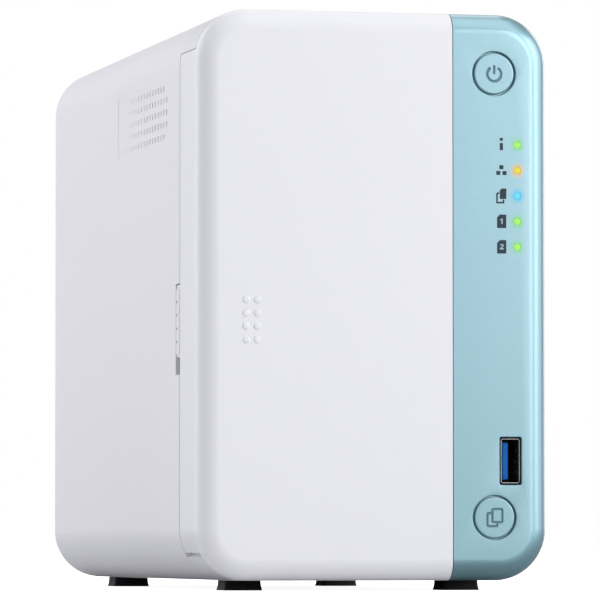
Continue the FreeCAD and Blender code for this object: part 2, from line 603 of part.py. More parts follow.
# ---- rear ports on the main board, from the top down
port_down = {"usb_a": 37.0, "usb_b": 53.5, "hdmi": 71.5, "lan": 95.0, "dc": 121.0}
port_z = {name: height - down for name, down in port_down.items()}
usb_t = 15.6
usb_c = 13.2
shells = []
tongues = []
for key in ("usb_a", "usb_b"):
    z = port_z[key]
    s = box(io_x, io_x + usb_t, io_y - 17, io_y, z - usb_c / 2, z + usb_c / 2)
    for q in (io_x + 1.2, io_x + 9.1):
        s = s.cut(box(q, q + 5.2, io_y - 13, io_y + 1, z - 6.2, z + 6.2))
        t = box(q + 0.9, q + 2.7, io_y - 12, io_y - 1.0, z - 5.4, z + 5.4)
        tongues.append(fuse([t, box(q + 0.1, q + 5.1, io_y - 12.9, io_y - 11.6, z - 6.1, z + 6.1)]))
    shells.append(s)
node("usb_rear_shells", *shells)
node("usb_rear_tongues", *tongues)
z = port_z["hdmi"]
hdmi_half = 7.5
side = [(0, -hdmi_half), (4.2, -hdmi_half), (5.9, 1.6 - hdmi_half), (5.9, hdmi_half - 1.6),
        (4.2, hdmi_half), (0, hdmi_half)]
hollow = [(0.5, 0.5 - hdmi_half), (3.9, 0.5 - hdmi_half), (5.4, 2.0 - hdmi_half), (5.4, hdmi_half - 2.0),
          (3.9, hdmi_half - 0.5), (0.5, hdmi_half - 0.5)]
h = prism([(io_x + a, z + b) for a, b in side], "y", io_y - 11.5, 11.5)
hc = prism([(io_x + a, z + b) for a, b in hollow], "y", io_y - 9.5, 10.5)
blade = box(io_x + 2.2, io_x + 3.2, io_y - 10, io_y - 0.8, z - 5.5, z + 5.5)
node("hdmi_port", fuse([h.cut(hc), blade]))
z = port_z["lan"]
lan_wide = 16.0
lan_tall = 13.7
lan_low_x = io_x + 1.2
jack = box(io_x, io_x + lan_tall, io_y - 21, io_y, z - lan_wide / 2, z + lan_wide / 2)
mouth = [box(lan_low_x + 3.4, lan_low_x + 10.2, io_y - 15, io_y + 1, z - 5.9, z + 5.9),
         box(lan_low_x + 1.8, lan_low_x + 3.5, io_y - 15, io_y + 1, z - 3.2, z + 3.2),
         box(lan_low_x + 0.4, lan_low_x + 1.9, io_y - 10, io_y + 1, z - 2.0, z + 2.0)]
node("lan_jack", jack.cut(mouth))
z = port_z["dc"]
dc_w = 10.5
dc = box(io_x, io_x + 11.0, io_y - 14, io_y, z - dc_w / 2, z + dc_w / 2)
dc = dc.cut(rod("y", 3.2, io_x + 6.2, io_y - 10, z, 11))
node("dc_jack", fuse([dc, rod("y", 1.25, io_x + 6.2, io_y - 11, z, 9.5)]))

# ---- rear panel: fan grille, port openings, reset hole, security slot, screw holes
edge = corner - wall - 0.3
plate = outline(-hw + wall + 0.3, hw - wall - 0.3, base + wall + 0.3, roof_in - 0.3, edge,
                panel_front, panel_rear)
holes = []
grille = []
ring_pitch = (fan_bore - 8.8) / 4.9
for r0 in [5.5 + ring_pitch * k for k in range(5)] + [fan_bore - 3.3]:
    disc = rod("y", r0 + 3.3, fan_x, panel_front - 1, fan_z, 4)
    grille.append(disc.cut(rod("y", r0, fan_x, panel_front - 2, fan_z, 6)))
spokes = []
for k in range(4):
    s = box(-40, 40, panel_front - 2, panel_rear + 2, -1, 1)
    s.rotate(V(0, 0, 0), V(0, 1, 0), 22.5 + 45 * k)
    s.translate(V(fan_x, 0, fan_z))
    spokes.append(s)
holes += [g.cut(spokes) for g in grille]
fan_hole = fan_side / 2 - 5.0
fan_fix = [(fan_x + a * fan_hole, fan_z + b * fan_hole) for a in (-1, 1) for b in (-1, 1)]
holes += [rod("y", 2.15, x, panel_front - 1, z, 4) for x, z in fan_fix]
fit_gap = 0.35


def port_hole(x0, x1, z0, z1):
    return box(x0 - fit_gap, x1 + fit_gap, panel_front - 1, panel_rear + 1, z0 - fit_gap, z1 + fit_gap)


for key in ("usb_a", "usb_b"):
    holes.append(port_hole(io_x, io_x + usb_t, port_z[key] - usb_c / 2, port_z[key] + usb_c / 2))
holes.append(port_hole(io_x, io_x + 5.9, port_z["hdmi"] - hdmi_half, port_z["hdmi"] + hdmi_half))
holes.append(port_hole(io_x, io_x + lan_tall, port_z["lan"] - lan_wide / 2, port_z["lan"] + lan_wide / 2))
holes.append(port_hole(io_x, io_x + 11.0, port_z["dc"] - dc_w / 2, port_z["dc"] + dc_w / 2))
holes.append(rod("y", 1.4, reset_x, panel_front - 1, reset_z, 4))
slot = box(io_x + 10.5, io_x + 17.5, panel_front - 1, panel_rear + 1, height - 15, height - 12)
holes.append(rounded(slot, 1.2, "y"))
for k in range(7):
    holes.append(rounded(box(-44 + 8 * k, -39 + 8 * k, panel_front - 1, panel_rear + 1, 24, 48), 2.0, "y"))
holes += [rod("y", 1.7, x, panel_front - 1, z, 4) for x in screw_x for z in (boss_z + 3, base + 5)]
node("rear_panel", plate.cut(holes))
node("reset_button", fuse([rod("y", 1.1, reset_x, reset_y + 2.85, reset_z, panel_rear - 0.8 - reset_y - 2.85),
                           rod("y", 2.0, reset_x, reset_y + 2.85, reset_z, 0.9)]))
nodes["mainboard"] = fuse([nodes["mainboard"], reset_block])
case_heads = []
for x in screw_x:
    for z in (boss_z + 3, base + 5):
        s = fuse([rod("y", 2.9, x, panel_rear, z, 1.4), rod("y", 1.4, x, panel_front - 5.6, z, 7.7)])
        cross = [box(x - a, x + a, panel_rear + 0.8, panel_rear + 2, z - b, z + b)
                 for a, b in ((1.9, 0.35), (0.35, 1.9))]
        case_heads.append(s.cut(cross))
node("case_screws", *case_heads)

# ---- fan: square frame with struts to a motor plate, and the rotor
sq = rounded(box(fan_x - fan_side / 2, fan_x + fan_side / 2, fan_front, fan_back, fan_z - fan_side / 2,
                 fan_z + fan_side / 2), 4.0, "y")
sq = sq.cut(rod("y", fan_bore, fan_x, fan_front - 1, fan_z, fan_deep + 2))
struts = []
for k in range(4):
    s = box(10, fan_bore + 1.2, fan_front, fan_front + 1.6, -1.2, 1.2)
    s.rotate(V(0, 0, 0), V(0, 1, 0), 45 + 90 * k)
    s.translate(V(fan_x, 0, fan_z))
    struts.append(s)
motor = rod("y", 13.0, fan_x, fan_front, fan_z, 1.8)
tube = rod("y", 3.6, fan_x, fan_front + 1.6, fan_z, 6.0)
tube = tube.cut(rod("y", 1.5 + run_gap, fan_x, fan_front - 1, fan_z, 10))
frame = fuse([sq, motor] + struts).cut(rod("y", 1.5 + run_gap, fan_x, fan_front - 1, fan_z, 8))
frame = fuse([frame, tube]).cut([rod("y", 2.0, x, fan_front - 1, z, fan_deep + 2) for x, z in fan_fix])
node("fan_frame", frame)
hub = rod("y", 13.0, fan_x, fan_front + 3.0, fan_z, fan_deep - 4.4)
hub = hub.cut(rod("y", 11.4, fan_x, fan_front + 2.0, fan_z, fan_deep - 5.0))
hub = fuse([hub, rod("y", 1.5, fan_x, fan_front + 0.6, fan_z, fan_deep - 3.0)])
blades = []
for k in range(7):
    b = Part.makeBox(fan_bore - 13.2, 1.2, 15.0, V(12.0, -0.6, -7.5))
    b.rotate(V(0, 0, 0), V(1, 0, 0), 52)
    b = b.common(Part.makeCylinder(fan_bore - 1.3, 40, V(0, -20, 0), V(0, 1, 0)))
    b.rotate(V(0, 0, 0), V(0, 1, 0), 360.0 / 7 * k)
    b.translate(V(fan_x, fan_front + 3.0 + (fan_deep - 4.4) / 2, fan_z))
    blades.append(b)
node("fan_rotor", fuse([hub] + blades))
heads = []
for x, z in fan_fix:
    s = fuse([rod("y", 3.6, x, panel_rear, z, 1.3), rod("y", 1.95, x, panel_rear - 9.0, z, 9.1)])
    heads.append(s.cut([box(x - 2.2, x + 2.2, panel_rear + 0.7, panel_rear + 2, z - 0.4, z + 0.4),
                        box(x - 0.4, x + 0.4, panel_rear + 0.7, panel_rear + 2, z - 2.2, z + 2.2)]))
node("fan_screws", *heads)

os.makedirs("parts", exist_ok=True)
for name, shape in nodes.items():
    shape.exportStep("parts/%s.step" % name)
    print(name, len(shape.Solids), "solids", round(shape.Volume / 1000, 2), "cm3", shape.isValid())
print(len(nodes), "nodes")
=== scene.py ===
import bpy
import bmesh
import math
import numpy as np
from mathutils import Matrix, Vector
from mathutils.geometry import delaunay_2d_cdt


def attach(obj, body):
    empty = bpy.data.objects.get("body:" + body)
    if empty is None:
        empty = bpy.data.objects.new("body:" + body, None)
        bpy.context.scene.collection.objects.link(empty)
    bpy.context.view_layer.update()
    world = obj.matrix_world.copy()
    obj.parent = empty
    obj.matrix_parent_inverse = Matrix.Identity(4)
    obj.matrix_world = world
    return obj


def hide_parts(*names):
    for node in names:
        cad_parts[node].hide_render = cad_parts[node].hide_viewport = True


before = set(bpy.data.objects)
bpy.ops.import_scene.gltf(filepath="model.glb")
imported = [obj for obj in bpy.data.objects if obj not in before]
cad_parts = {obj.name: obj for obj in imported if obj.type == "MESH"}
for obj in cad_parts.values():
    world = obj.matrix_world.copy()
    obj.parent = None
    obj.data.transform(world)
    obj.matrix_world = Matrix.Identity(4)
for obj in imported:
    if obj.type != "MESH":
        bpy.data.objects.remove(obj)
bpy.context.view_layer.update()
mm = 0.001
print("frame loaded,", len(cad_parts), "nodes")

# the case as a whole, in millimetres
case = dict(halfWidth=52.5, bottom=3.0, top=169.0, corner=15.0, front=-113.0, rear=113.0, wall=2.2,
            rimBack=-106.4, caseFront=-106.0, flangeBack=-86.6, flangeLow=11.1, flangeHigh=157.3,
            sideGap=0.8, lowGap=1.4, highGap=0.3, frontRound=6.2, coverEdge=23.24, stripEdge=23.46)


def gridFaces(rows, cols, first=0, closeCols=False, closeRows=False):
    # quads between neighbouring points of a rows x cols grid numbered row by row
    r = np.arange(rows if closeRows else rows - 1)
    c = np.arange(cols if closeCols else cols - 1)
    i, j = np.meshgrid(r, c, indexing="ij")
    i2, j2 = (i + 1) % rows, (j + 1) % cols
    quads = np.stack([i * cols + j, i2 * cols + j, i2 * cols + j2, i * cols + j2], -1)
    return (quads.reshape(-1, 4) + first).tolist()


def joined(bits):
    # one list of points and faces from several, the later face numbers moved up
    verts, faces, at = [], [], 0
    for v, f in bits:
        verts.append(np.asarray(v, float))
        faces += [[k + at for k in face] for face in f]
        at += len(v)
    return np.vstack(verts), faces


def arc(cx, cy, r, a0, a1, n):
    # points cx + r cos a, cy + r sin a for n angles in degrees from a0 to a1
    a = np.radians(np.linspace(a0, a1, n))
    return np.stack([cx + r * np.cos(a), cy + r * np.sin(a)], -1)


def faceMiddles(mesh):
    # the middle of every face in millimetres, as columns x, y, z
    mids = np.empty(len(mesh.polygons) * 3)
    mesh.polygons.foreach_get("center", mids)
    return (mids.reshape(-1, 3) / mm).T


def addPiece(name, bits, body, mats, stands=(), bevel=0.0, sharp=38, matIndex=None, weld=True):
    # bits are in millimetres; matIndex gives each face its place in mats; sharp is the crease angle in degrees
    verts, faces = joined(bits)
    mesh = bpy.data.meshes.new(name)
    mesh.from_pydata((verts * mm).tolist(), [], faces)
    if weld:
        bm = bmesh.new()
        bm.from_mesh(mesh)
        bmesh.ops.remove_doubles(bm, verts=bm.verts, dist=1.5e-6)
        bmesh.ops.recalc_face_normals(bm, faces=bm.faces)
        bm.to_mesh(mesh)
        bm.free()
    mesh.polygons.foreach_set("use_smooth", np.ones(len(mesh.polygons), bool))
    for m in mats if isinstance(mats, (list, tuple)) else [mats]:
        mesh.materials.append(m)
    if matIndex is not None:
        mesh.polygons.foreach_set("material_index", np.asarray(matIndex(mesh), np.int32))
    mesh.update()
    piece = bpy.data.objects.new(name, mesh)
    bpy.context.scene.collection.objects.link(piece)
    if bevel:
        soft = piece.modifiers.new("softEdges", "BEVEL")
        soft.width = bevel * mm
        soft.segments = 2
        soft.limit_method = "ANGLE"
        soft.angle_limit = math.radians(sharp)
        soft.use_clamp_overlap = True
    else:
        mesh.set_sharp_from_angle(angle=math.radians(sharp))
    even = piece.modifiers.new("evenNormals", "WEIGHTED_NORMAL")
    even.keep_sharp = True
    even.weight = 80
    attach(piece, body)
    if stands:
        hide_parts(*stands)
    return piece


# finishes: grain is the bump's scale, cloud the scale of the soft change in colour (tint) and in roughness
finishes = {
    "coverWhite": dict(color=(0.775, 0.772, 0.803), rough=0.36, grain=900, bump=0.02, cloud=9, tint=0.012),
    "caseWhite": dict(color=(0.75, 0.742, 0.782), rough=0.46, grain=2600, bump=0.10, cloud=12, tint=0.012),
    "zincSheet": dict(color=(0.58, 0.59, 0.61), rough=0.36, metal=1.0, grain=500, bump=0.05, cloud=60, tint=0.08),
    "footRubber": dict(color=(0.016, 0.016, 0.018), rough=0.78, grain=1800, bump=0.2, cloud=80, tint=0.004),
    "bezelGrey": dict(color=(0.30, 0.31, 0.34), rough=0.5, grain=1800, bump=0.14, cloud=20, tint=0.02),
    "trayBlack": dict(color=(0.035, 0.036, 0.04), rough=0.5, grain=1600, bump=0.16, cloud=20, tint=0.006),
    "darkPrint": dict(color=(0.022, 0.034, 0.05), rough=0.7, grain=1500, bump=0.03, cloud=90, tint=0.004),
    "plated": dict(color=(0.46, 0.45, 0.44), rough=0.20, metal=1.0, grain=900, bump=0.05, cloud=120, tint=0.04),
    "blueTongue": dict(color=(0.006, 0.12, 0.44), rough=0.6, shine=0.12, grain=1400, bump=0.05, cloud=60, tint=0.01),
    "boardGreen": dict(color=(0.012, 0.12, 0.06), rough=0.36, coat=0.3, grain=420, bump=0.12, cloud=140, tint=0.02),
    "moulded": dict(color=(0.022, 0.022, 0.025), rough=0.46, grain=1500, bump=0.1, cloud=40, tint=0.004),
    "rearSheet": dict(color=(0.66, 0.67, 0.70), rough=0.44, grain=1300, bump=0.14, cloud=25, tint=0.015),
    "castAlloy": dict(color=(0.42, 0.43, 0.45), rough=0.5, metal=1.0, grain=900, bump=0.3, cloud=50, tint=0.05),
    "bareAlloy": dict(color=(0.70, 0.71, 0.73), rough=0.36, metal=1.0, grain=700, bump=0.06, cloud=40, tint=0.05),
    # painted shade: a dark finish for the inside of the front socket
    "socketPaintedShade": dict(color=(0.035, 0.035, 0.038), rough=0.5, metal=0.6, grain=900, bump=0.05, cloud=90, tint=0.006),
    "contactGold": dict(color=(0.72, 0.55, 0.26), rough=0.36, metal=1.0, grain=900, bump=0.03, cloud=120, tint=0.03),
    "clearLens": dict(color=(0.78, 0.80, 0.78), rough=0.2, grain=900, bump=0.03, cloud=60, tint=0.01),
}


def node(tree, kind, x=0, y=0, **values):
    # a new node at x, y in the editor; values set its inputs or its own settings
    n = tree.nodes.new(kind)
    n.location = (x, y)
    for k, v in values.items():
        if k in n.inputs:
            n.inputs[k].default_value = v
        else:
            setattr(n, k, v)
    return n


def newMaterial(name):
    # a material with its shader and a node that gives Object coordinates
    mat = bpy.data.materials.new(name)
    mat.use_nodes = True
    tree = mat.node_tree
    shader = tree.nodes["Principled BSDF"]
    coords = node(tree, "ShaderNodeTexCoord", -1200, 0)
    return mat, tree, shader, coords


def grainBump(tree, shader, coords, scale, strength, depth=0.00003):
    # fine noise read as height, pushed into the normal
    n = node(tree, "ShaderNodeTexNoise", -900, -400)
    n.inputs["Scale"].default_value = scale
    n.inputs["Detail"].default_value = 3.0
    tree.links.new(coords.outputs["Object"], n.inputs["Vector"])
    b = node(tree, "ShaderNodeBump", -500, -400)
    b.inputs["Strength"].default_value = strength
    b.inputs["Distance"].default_value = depth
    tree.links.new(n.outputs["Fac"], b.inputs["Height"])
    tree.links.new(b.outputs["Normal"], shader.inputs["Normal"])


roughSpread = 0.05   # how far roughness goes either side of its middle


def plain(name, c):
    # colour goes from base - tint to base + tint with slow noise, and roughness goes with it
    mat, tree, shader, coords = newMaterial(name)
    shader.inputs["Metallic"].default_value = c.get("metal", 0.0)
    shader.inputs["Coat Weight"].default_value = c.get("coat", 0.0)
    shader.inputs["Coat Roughness"].default_value = 0.12
    shader.inputs["IOR"].default_value = 1.5
    shader.inputs["Specular IOR Level"].default_value = c.get("shine", 0.5)
    grainBump(tree, shader, coords, c["grain"], c["bump"])
    cloud = node(tree, "ShaderNodeTexNoise", -900, 200)
    cloud.inputs["Scale"].default_value = c["cloud"]
    cloud.inputs["Detail"].default_value = 4.0
    tree.links.new(coords.outputs["Object"], cloud.inputs["Vector"])
    mix = node(tree, "ShaderNodeMix", -500, 250, data_type="RGBA")
    base = np.array(c["color"])
    mix.inputs["A"].default_value = (*np.clip(base - c["tint"], 0, 1), 1)
    mix.inputs["B"].default_value = (*np.clip(base + c["tint"], 0, 1), 1)
    tree.links.new(cloud.outputs["Fac"], mix.inputs["Factor"])
    tree.links.new(mix.outputs["Result"], shader.inputs["Base Color"])
    r = node(tree, "ShaderNodeMapRange", -500, 0)
    r.inputs["To Min"].default_value = c["rough"] - roughSpread
    r.inputs["To Max"].default_value = c["rough"] + roughSpread
    tree.links.new(cloud.outputs["Fac"], r.inputs["Value"])
    tree.links.new(r.outputs["Result"], shader.inputs["Roughness"])
    return mat


material = {name: plain(name, c) for name, c in finishes.items()}

# status lights from the top down: each one's colour, the halo it throws on the paint and the lens's own colour
lights = dict(x=42.85, top=130.4, pitch=7.48, radius=1.02, colors=("green", "amber", "blue", "green", "green"),
              halo=dict(green=(0.15, 0.52, 0.18), amber=(0.60, 0.38, 0.13), blue=(0.05, 0.40, 0.64)),
              lens=dict(green=(0.42, 0.88, 0.17), amber=(0.80, 0.70, 0.07), blue=(0.16, 0.73, 0.92)),
              strength=0.82, glow=0.015, glowReach=3.0, glowPower=1.9)
lightZ = [lights["top"] - k * lights["pitch"] for k in range(len(lights["colors"]))]


def lensMaterial(name, color):
    # light of one colour, a tenth weaker where the lens turns away
    mat, tree, shader, coords = newMaterial(name)
    shader.inputs["Roughness"].default_value = 0.4
    shader.inputs["Specular IOR Level"].default_value = 0.2
    grainBump(tree, shader, coords, 1200, 0.03)
    face = node(tree, "ShaderNodeLayerWeight", -900, 100)
    face.inputs["Blend"].default_value = 0.35
    mix = node(tree, "ShaderNodeMix", -500, 100, data_type="RGBA")
    mix.inputs["A"].default_value = (*color, 1)
    mix.inputs["B"].default_value = (*(0.9 * np.array(color)), 1)
    tree.links.new(face.outputs["Facing"], mix.inputs["Factor"])
    shader.inputs["Base Color"].default_value = (*(0.2 * np.array(color)), 1)
    tree.links.new(mix.outputs["Result"], shader.inputs["Emission Color"])
    shader.inputs["Emission Strength"].default_value = lights["strength"]
    return mat


for word, color in lights["lens"].items():
    material[word + "Lens"] = lensMaterial(word + "Lens", color)

# pearl paint: flake is the scale of its cells, and bump is their height in the normal
strip = dict(color=(0.275, 0.482, 0.552), deep=(0.238, 0.437, 0.505), rough=0.42, metal=0.82, flake=3400,
             coatRough=0.2, coatIor=1.7, bump=0.16)


def pearlPaint(name, glow):
    # metallic flakes from small cells, and around each light a coloured glow that falls off with distance
    mat, tree, shader, coords = newMaterial(name)
    shader.inputs["Metallic"].default_value = strip["metal"]
    shader.inputs["Coat Weight"].default_value = 1.0
    shader.inputs["Coat Roughness"].default_value = strip["coatRough"]
    shader.inputs["Coat IOR"].default_value = strip["coatIor"]
    cells = node(tree, "ShaderNodeTexVoronoi", -1000, 300)
    cells.inputs["Scale"].default_value = strip["flake"]
    tree.links.new(coords.outputs["Object"], cells.inputs["Vector"])
    bw = node(tree, "ShaderNodeRGBToBW", -800, 300)
    tree.links.new(cells.outputs["Color"], bw.inputs["Color"])
    mix = node(tree, "ShaderNodeMix", -500, 300, data_type="RGBA")
    mix.inputs["A"].default_value = (*strip["deep"], 1)
    mix.inputs["B"].default_value = (*strip["color"], 1)
    tree.links.new(bw.outputs["Val"], mix.inputs["Factor"])
    paint = mix.outputs["Result"]
    lit = None
    if glow:
        for z, word in zip(lightZ, lights["colors"]):
            away = node(tree, "ShaderNodeVectorMath", -900, -600, operation="DISTANCE")
            away.inputs[1].default_value = (lights["x"] * mm, case["front"] * mm, z * mm)
            tree.links.new(coords.outputs["Object"], away.inputs[0])
            fall = node(tree, "ShaderNodeMapRange", -700, -600)
            fall.inputs["From Min"].default_value = lights["radius"] * mm
            fall.inputs["From Max"].default_value = lights["glowReach"] * mm
            fall.inputs["To Min"].default_value = 1.0
            fall.inputs["To Max"].default_value = 0.0
            tree.links.new(away.outputs["Value"], fall.inputs["Value"])
            soft = node(tree, "ShaderNodeMath", -600, -600, operation="POWER")
            soft.inputs[1].default_value = lights["glowPower"]
            tree.links.new(fall.outputs["Result"], soft.inputs[0])
            tinted = node(tree, "ShaderNodeMix", -300, 300, data_type="RGBA")
            tinted.inputs["B"].default_value = (*lights["halo"][word], 1)
            tree.links.new(soft.outputs["Value"], tinted.inputs["Factor"])
            tree.links.new(paint, tinted.inputs["A"])
            paint = tinted.outputs["Result"]
            if lit is None:
                lit = soft.outputs["Value"]
            else:
                both = node(tree, "ShaderNodeMath", -200, -600, operation="ADD")
                tree.links.new(lit, both.inputs[0])
                tree.links.new(soft.outputs["Value"], both.inputs[1])
                lit = both.outputs["Value"]
        strength = node(tree, "ShaderNodeMath", -100, -600, operation="MULTIPLY")
        strength.inputs[1].default_value = lights["glow"]
        tree.links.new(lit, strength.inputs[0])
        tree.links.new(strength.outputs["Value"], shader.inputs["Emission Strength"])
        tree.links.new(paint, shader.inputs["Emission Color"])
    tree.links.new(paint, shader.inputs["Base Color"])
    r = node(tree, "ShaderNodeMapRange", -500, 60)
    r.inputs["To Min"].default_value = strip["rough"] - roughSpread
    r.inputs["To Max"].default_value = strip["rough"] + roughSpread
    tree.links.new(bw.outputs["Val"], r.inputs["Value"])
    tree.links.new(r.outputs["Result"], shader.inputs["Roughness"])
    b = node(tree, "ShaderNodeBump", -500, -300)
    b.inputs["Strength"].default_value = strip["bump"]
    b.inputs["Distance"].default_value = 0.00003
    tree.links.new(bw.outputs["Val"], b.inputs["Height"])
    tree.links.new(b.outputs["Normal"], shader.inputs["Normal"])
    return mat


material["pearlStrip"] = pearlPaint("pearlStrip", True)
material["pearlButton"] = pearlPaint("pearlButton", False)
# painted shade: a darker teal for the floor of the buttons' sunk marks
paintedMarkShade = dict(color=(0.12, 0.24, 0.28), rough=0.4, metal=0.3, grain=1500, bump=0.05, cloud=200, tint=0.01)
material["pearlPaintedShade"] = plain("pearlPaintedShade", paintedMarkShade)
print("materials made,", len(material))


# the case's outline is a run of points (x, z, nx, nz), where nx and nz are the outward normal
def cornerRun(side, level, a0, a1, extra=(), n=15):
    # corner arc about its centre, angles in degrees, with the extra angles kept exactly
    r = case["corner"]
    cx = side * (case["halfWidth"] - r)
    cz = case["top"] - r if level > 0 else case["bottom"] + r
    a = np.unique(np.round(np.concatenate([np.linspace(a0, a1, n), extra]), 6))
    a = a if a1 > a0 else a[::-1]
    c, s = np.cos(np.radians(a)), np.sin(np.radians(a))
    return np.stack([cx + r * c, cz + r * s, c, s], -1)


def sweep(run, section):
    # each outline point moved inwards by the section's first number, with the section's second as its Y
    s = np.asarray(section, float)
    x = run[:, None, 0] - run[:, None, 2] * s[None, :, 0]
    z = run[:, None, 1] - run[:, None, 3] * s[None, :, 0]
    y = np.broadcast_to(s[None, :, 1], x.shape)
    return np.stack([x, y, z], -1)


def frontArc(r, depthAt, inset, n=12):
    # quarter round from the side wall to the front face: inset r(1 - cos), Y r(1 - sin)
    t = np.linspace(0, np.pi / 2, n)
    return np.stack([inset + r * (1 - np.cos(t)), depthAt + r * (1 - np.sin(t))], -1)


def ngon(points):
    # one face round the points
    return np.asarray(points, float), [list(range(len(points)))]


def gridBit(points):
    # points in rows and columns, with quads between neighbours
    return points.reshape(-1, 3), gridFaces(*points.shape[:2])


def ring(cx, cz, r, n):
    # circle: cx + r cos a, cz + r sin a for n angles round
    a = np.linspace(0, 2 * np.pi, n, endpoint=False)
    return np.stack([cx + r * np.cos(a), cz + r * np.sin(a)], -1)


def tube(loops, depths, caps=False, closeRows=False):
    # closed loops of (x, z) set one behind another, each at its own depth Y, with faces at both ends if capped
    pts = np.stack([np.column_stack([loop[:, 0], np.full(len(loop), y), loop[:, 1]])
                    for loop, y in zip(loops, depths)])
    bits = [(pts.reshape(-1, 3), gridFaces(len(pts), pts.shape[1], closeCols=True, closeRows=closeRows))]
    return bits + [ngon(pts[0]), ngon(pts[-1])] if caps else bits


def outerSection(back):
    # the shell's section: from back along the side and round to the face, and the same a wall's thickness inside
    f, w, r = case["front"], case["wall"], case["frontRound"]
    outer = np.vstack([[0, back], frontArc(r, f, 0)])
    inner = np.vstack([frontArc(r - w, f + w, w)[::-1], [w, back]])
    return outer, inner


# front cover
cover = dict(gripX=(-38.45, -35.15), gripZ=72.7, gripPitch=3.87, gripRows=4, gripRadius=1.12, gripHeight=0.33,
             ribX=(-24.0, -6.0, 8.0), ribWide=1.2, ribDeep=1.4,
             lugX=(-30.0, 12.0), lugWide=7, lugTall=4, lugBack=-88.8)


def dome(cx, cz, radius, height, y, n=9, around=28):
    # low cap: at share t of the radius its height is height * sqrt(1 - t^4), and its rim is inside the face
    t = np.linspace(0, 1, n)
    a = np.linspace(0, 2 * np.pi, around, endpoint=False)
    rr = radius * t
    h = height * np.sqrt(np.clip(1 - t ** 4, 0, 1))
    x = cx + rr[:, None] * np.cos(a)
    z = cz + rr[:, None] * np.sin(a)
    yy = np.broadcast_to((y - h)[:, None], x.shape).copy()
    yy[-1] = y + 0.05
    pts = np.stack([x, yy, z], -1)
    return pts.reshape(-1, 3), gridFaces(n, around, closeCols=True)


def block(x0, x1, y0, y1, z0, z1):
    # eight corners from every choice of low or high on each axis
    g = np.array(np.meshgrid((x0, x1), (y0, y1), (z0, z1), indexing="ij")).reshape(3, -1).T
    return g, [[0, 1, 3, 2], [4, 6, 7, 5], [0, 4, 5, 1], [2, 3, 7, 6], [0, 2, 6, 4], [1, 5, 7, 3]]


def coverBits():
    # the shell's section swept round the left corners, longer in the flange between its two levels on the side
    f, w, edge, rim = case["front"], case["wall"], case["coverEdge"], case["rimBack"]
    high = math.degrees(math.asin((case["flangeHigh"] - case["top"] + case["corner"]) / case["corner"]))
    low = math.degrees(math.asin((case["bottom"] + case["corner"] - case["flangeLow"]) / case["corner"]))
    upper = np.vstack([[edge, case["top"], 0, 1], cornerRun(-1, 1, 90, 180, [180 - high])])
    lower = np.vstack([cornerRun(-1, -1, 180, 270, [180 + low]), [edge, case["bottom"], 0, -1]])
    run = np.vstack([upper, lower])
    flangeTop = np.abs(upper[1:, 1] - case["flangeHigh"]).argmin() + 1
    flangeLow = np.abs(lower[:-1, 1] - case["flangeLow"]).argmin() + len(upper)
    outer, inner = outerSection(rim)
    rimEdge = [[0, rim], [w, rim]]
    flange = [[0, rim], [0, case["flangeBack"]], [w, case["flangeBack"]], [w, rim]]
    bits = []
    for a, b, back in ((0, flangeTop, rimEdge), (flangeTop, flangeLow, flange),
                       (flangeLow, len(run) - 1, rimEdge)):
        part = run[a:b + 1]
        bits += [gridBit(sweep(part, section)) for section in (outer, inner, back)]
    bits += [ngon(sweep(run[[k]], flange)[0]) for k in (flangeTop, flangeLow)]
    bits += [ngon(sweep(run, outer[-1:])[:, 0]), ngon(sweep(run, inner[:1])[::-1, 0])]
    # the edge beside the strip is three flat faces: top leg, bottom leg and front leg
    (topOut, lowOut), (topIn, lowIn) = sweep(run[[0, -1]], outer), sweep(run[[0, -1]], inner)
    bits += [ngon(np.vstack([topOut, topIn])), ngon(np.vstack([lowOut, lowIn])),
             ngon(np.vstack([topOut[-1:], topIn[:1], lowIn[:1], lowOut[-1:]]))]
    for x in cover["gripX"]:
        for k in range(cover["gripRows"]):
            z = cover["gripZ"] + k * cover["gripPitch"]
            bits.append(dome(x, z, cover["gripRadius"], cover["gripHeight"], f))
    inside = f + w - 0.1                                   # ribs and lugs start just inside the wall
    for x in cover["ribX"]:
        bits.append(block(x, x + cover["ribWide"], inside, f + w + cover["ribDeep"], 20, case["top"] - 24))
    for z in (case["flangeLow"] + 3.4, case["flangeHigh"] - 8):
        for x in cover["lugX"]:
            bits.append(block(x, x + cover["lugWide"], inside, cover["lugBack"], z, z + cover["lugTall"]))
    return bits


addPiece("frontCover", coverBits(), "front_cover", material["coverWhite"], ("front_cover",),
         bevel=0.35)
print("front cover made")

# case wrap. vents is the sunk field of slits on each side, whose floor rises to nothing over its reach forward;
# the slits get deeper forward until slit number fade. rebate is the step in the wall round the cover's flange
vents = dict(rear=7.2, top=151.6, tall=18.4, deep=0.24, reach=82.0, slitY=2.1, slitZ=1.6, pitch=4.24, rowPitch=3.6,
             rows=5, slits=17, firstBack=6.7, firstDown=2.4, step=0.3, slitDeep=0.22, faint=0.12, fade=11)
rebate = dict(deep=1.7, clear=0.12)
lockSlot = dict(back=-80.4, low=63.3, high=90.1)


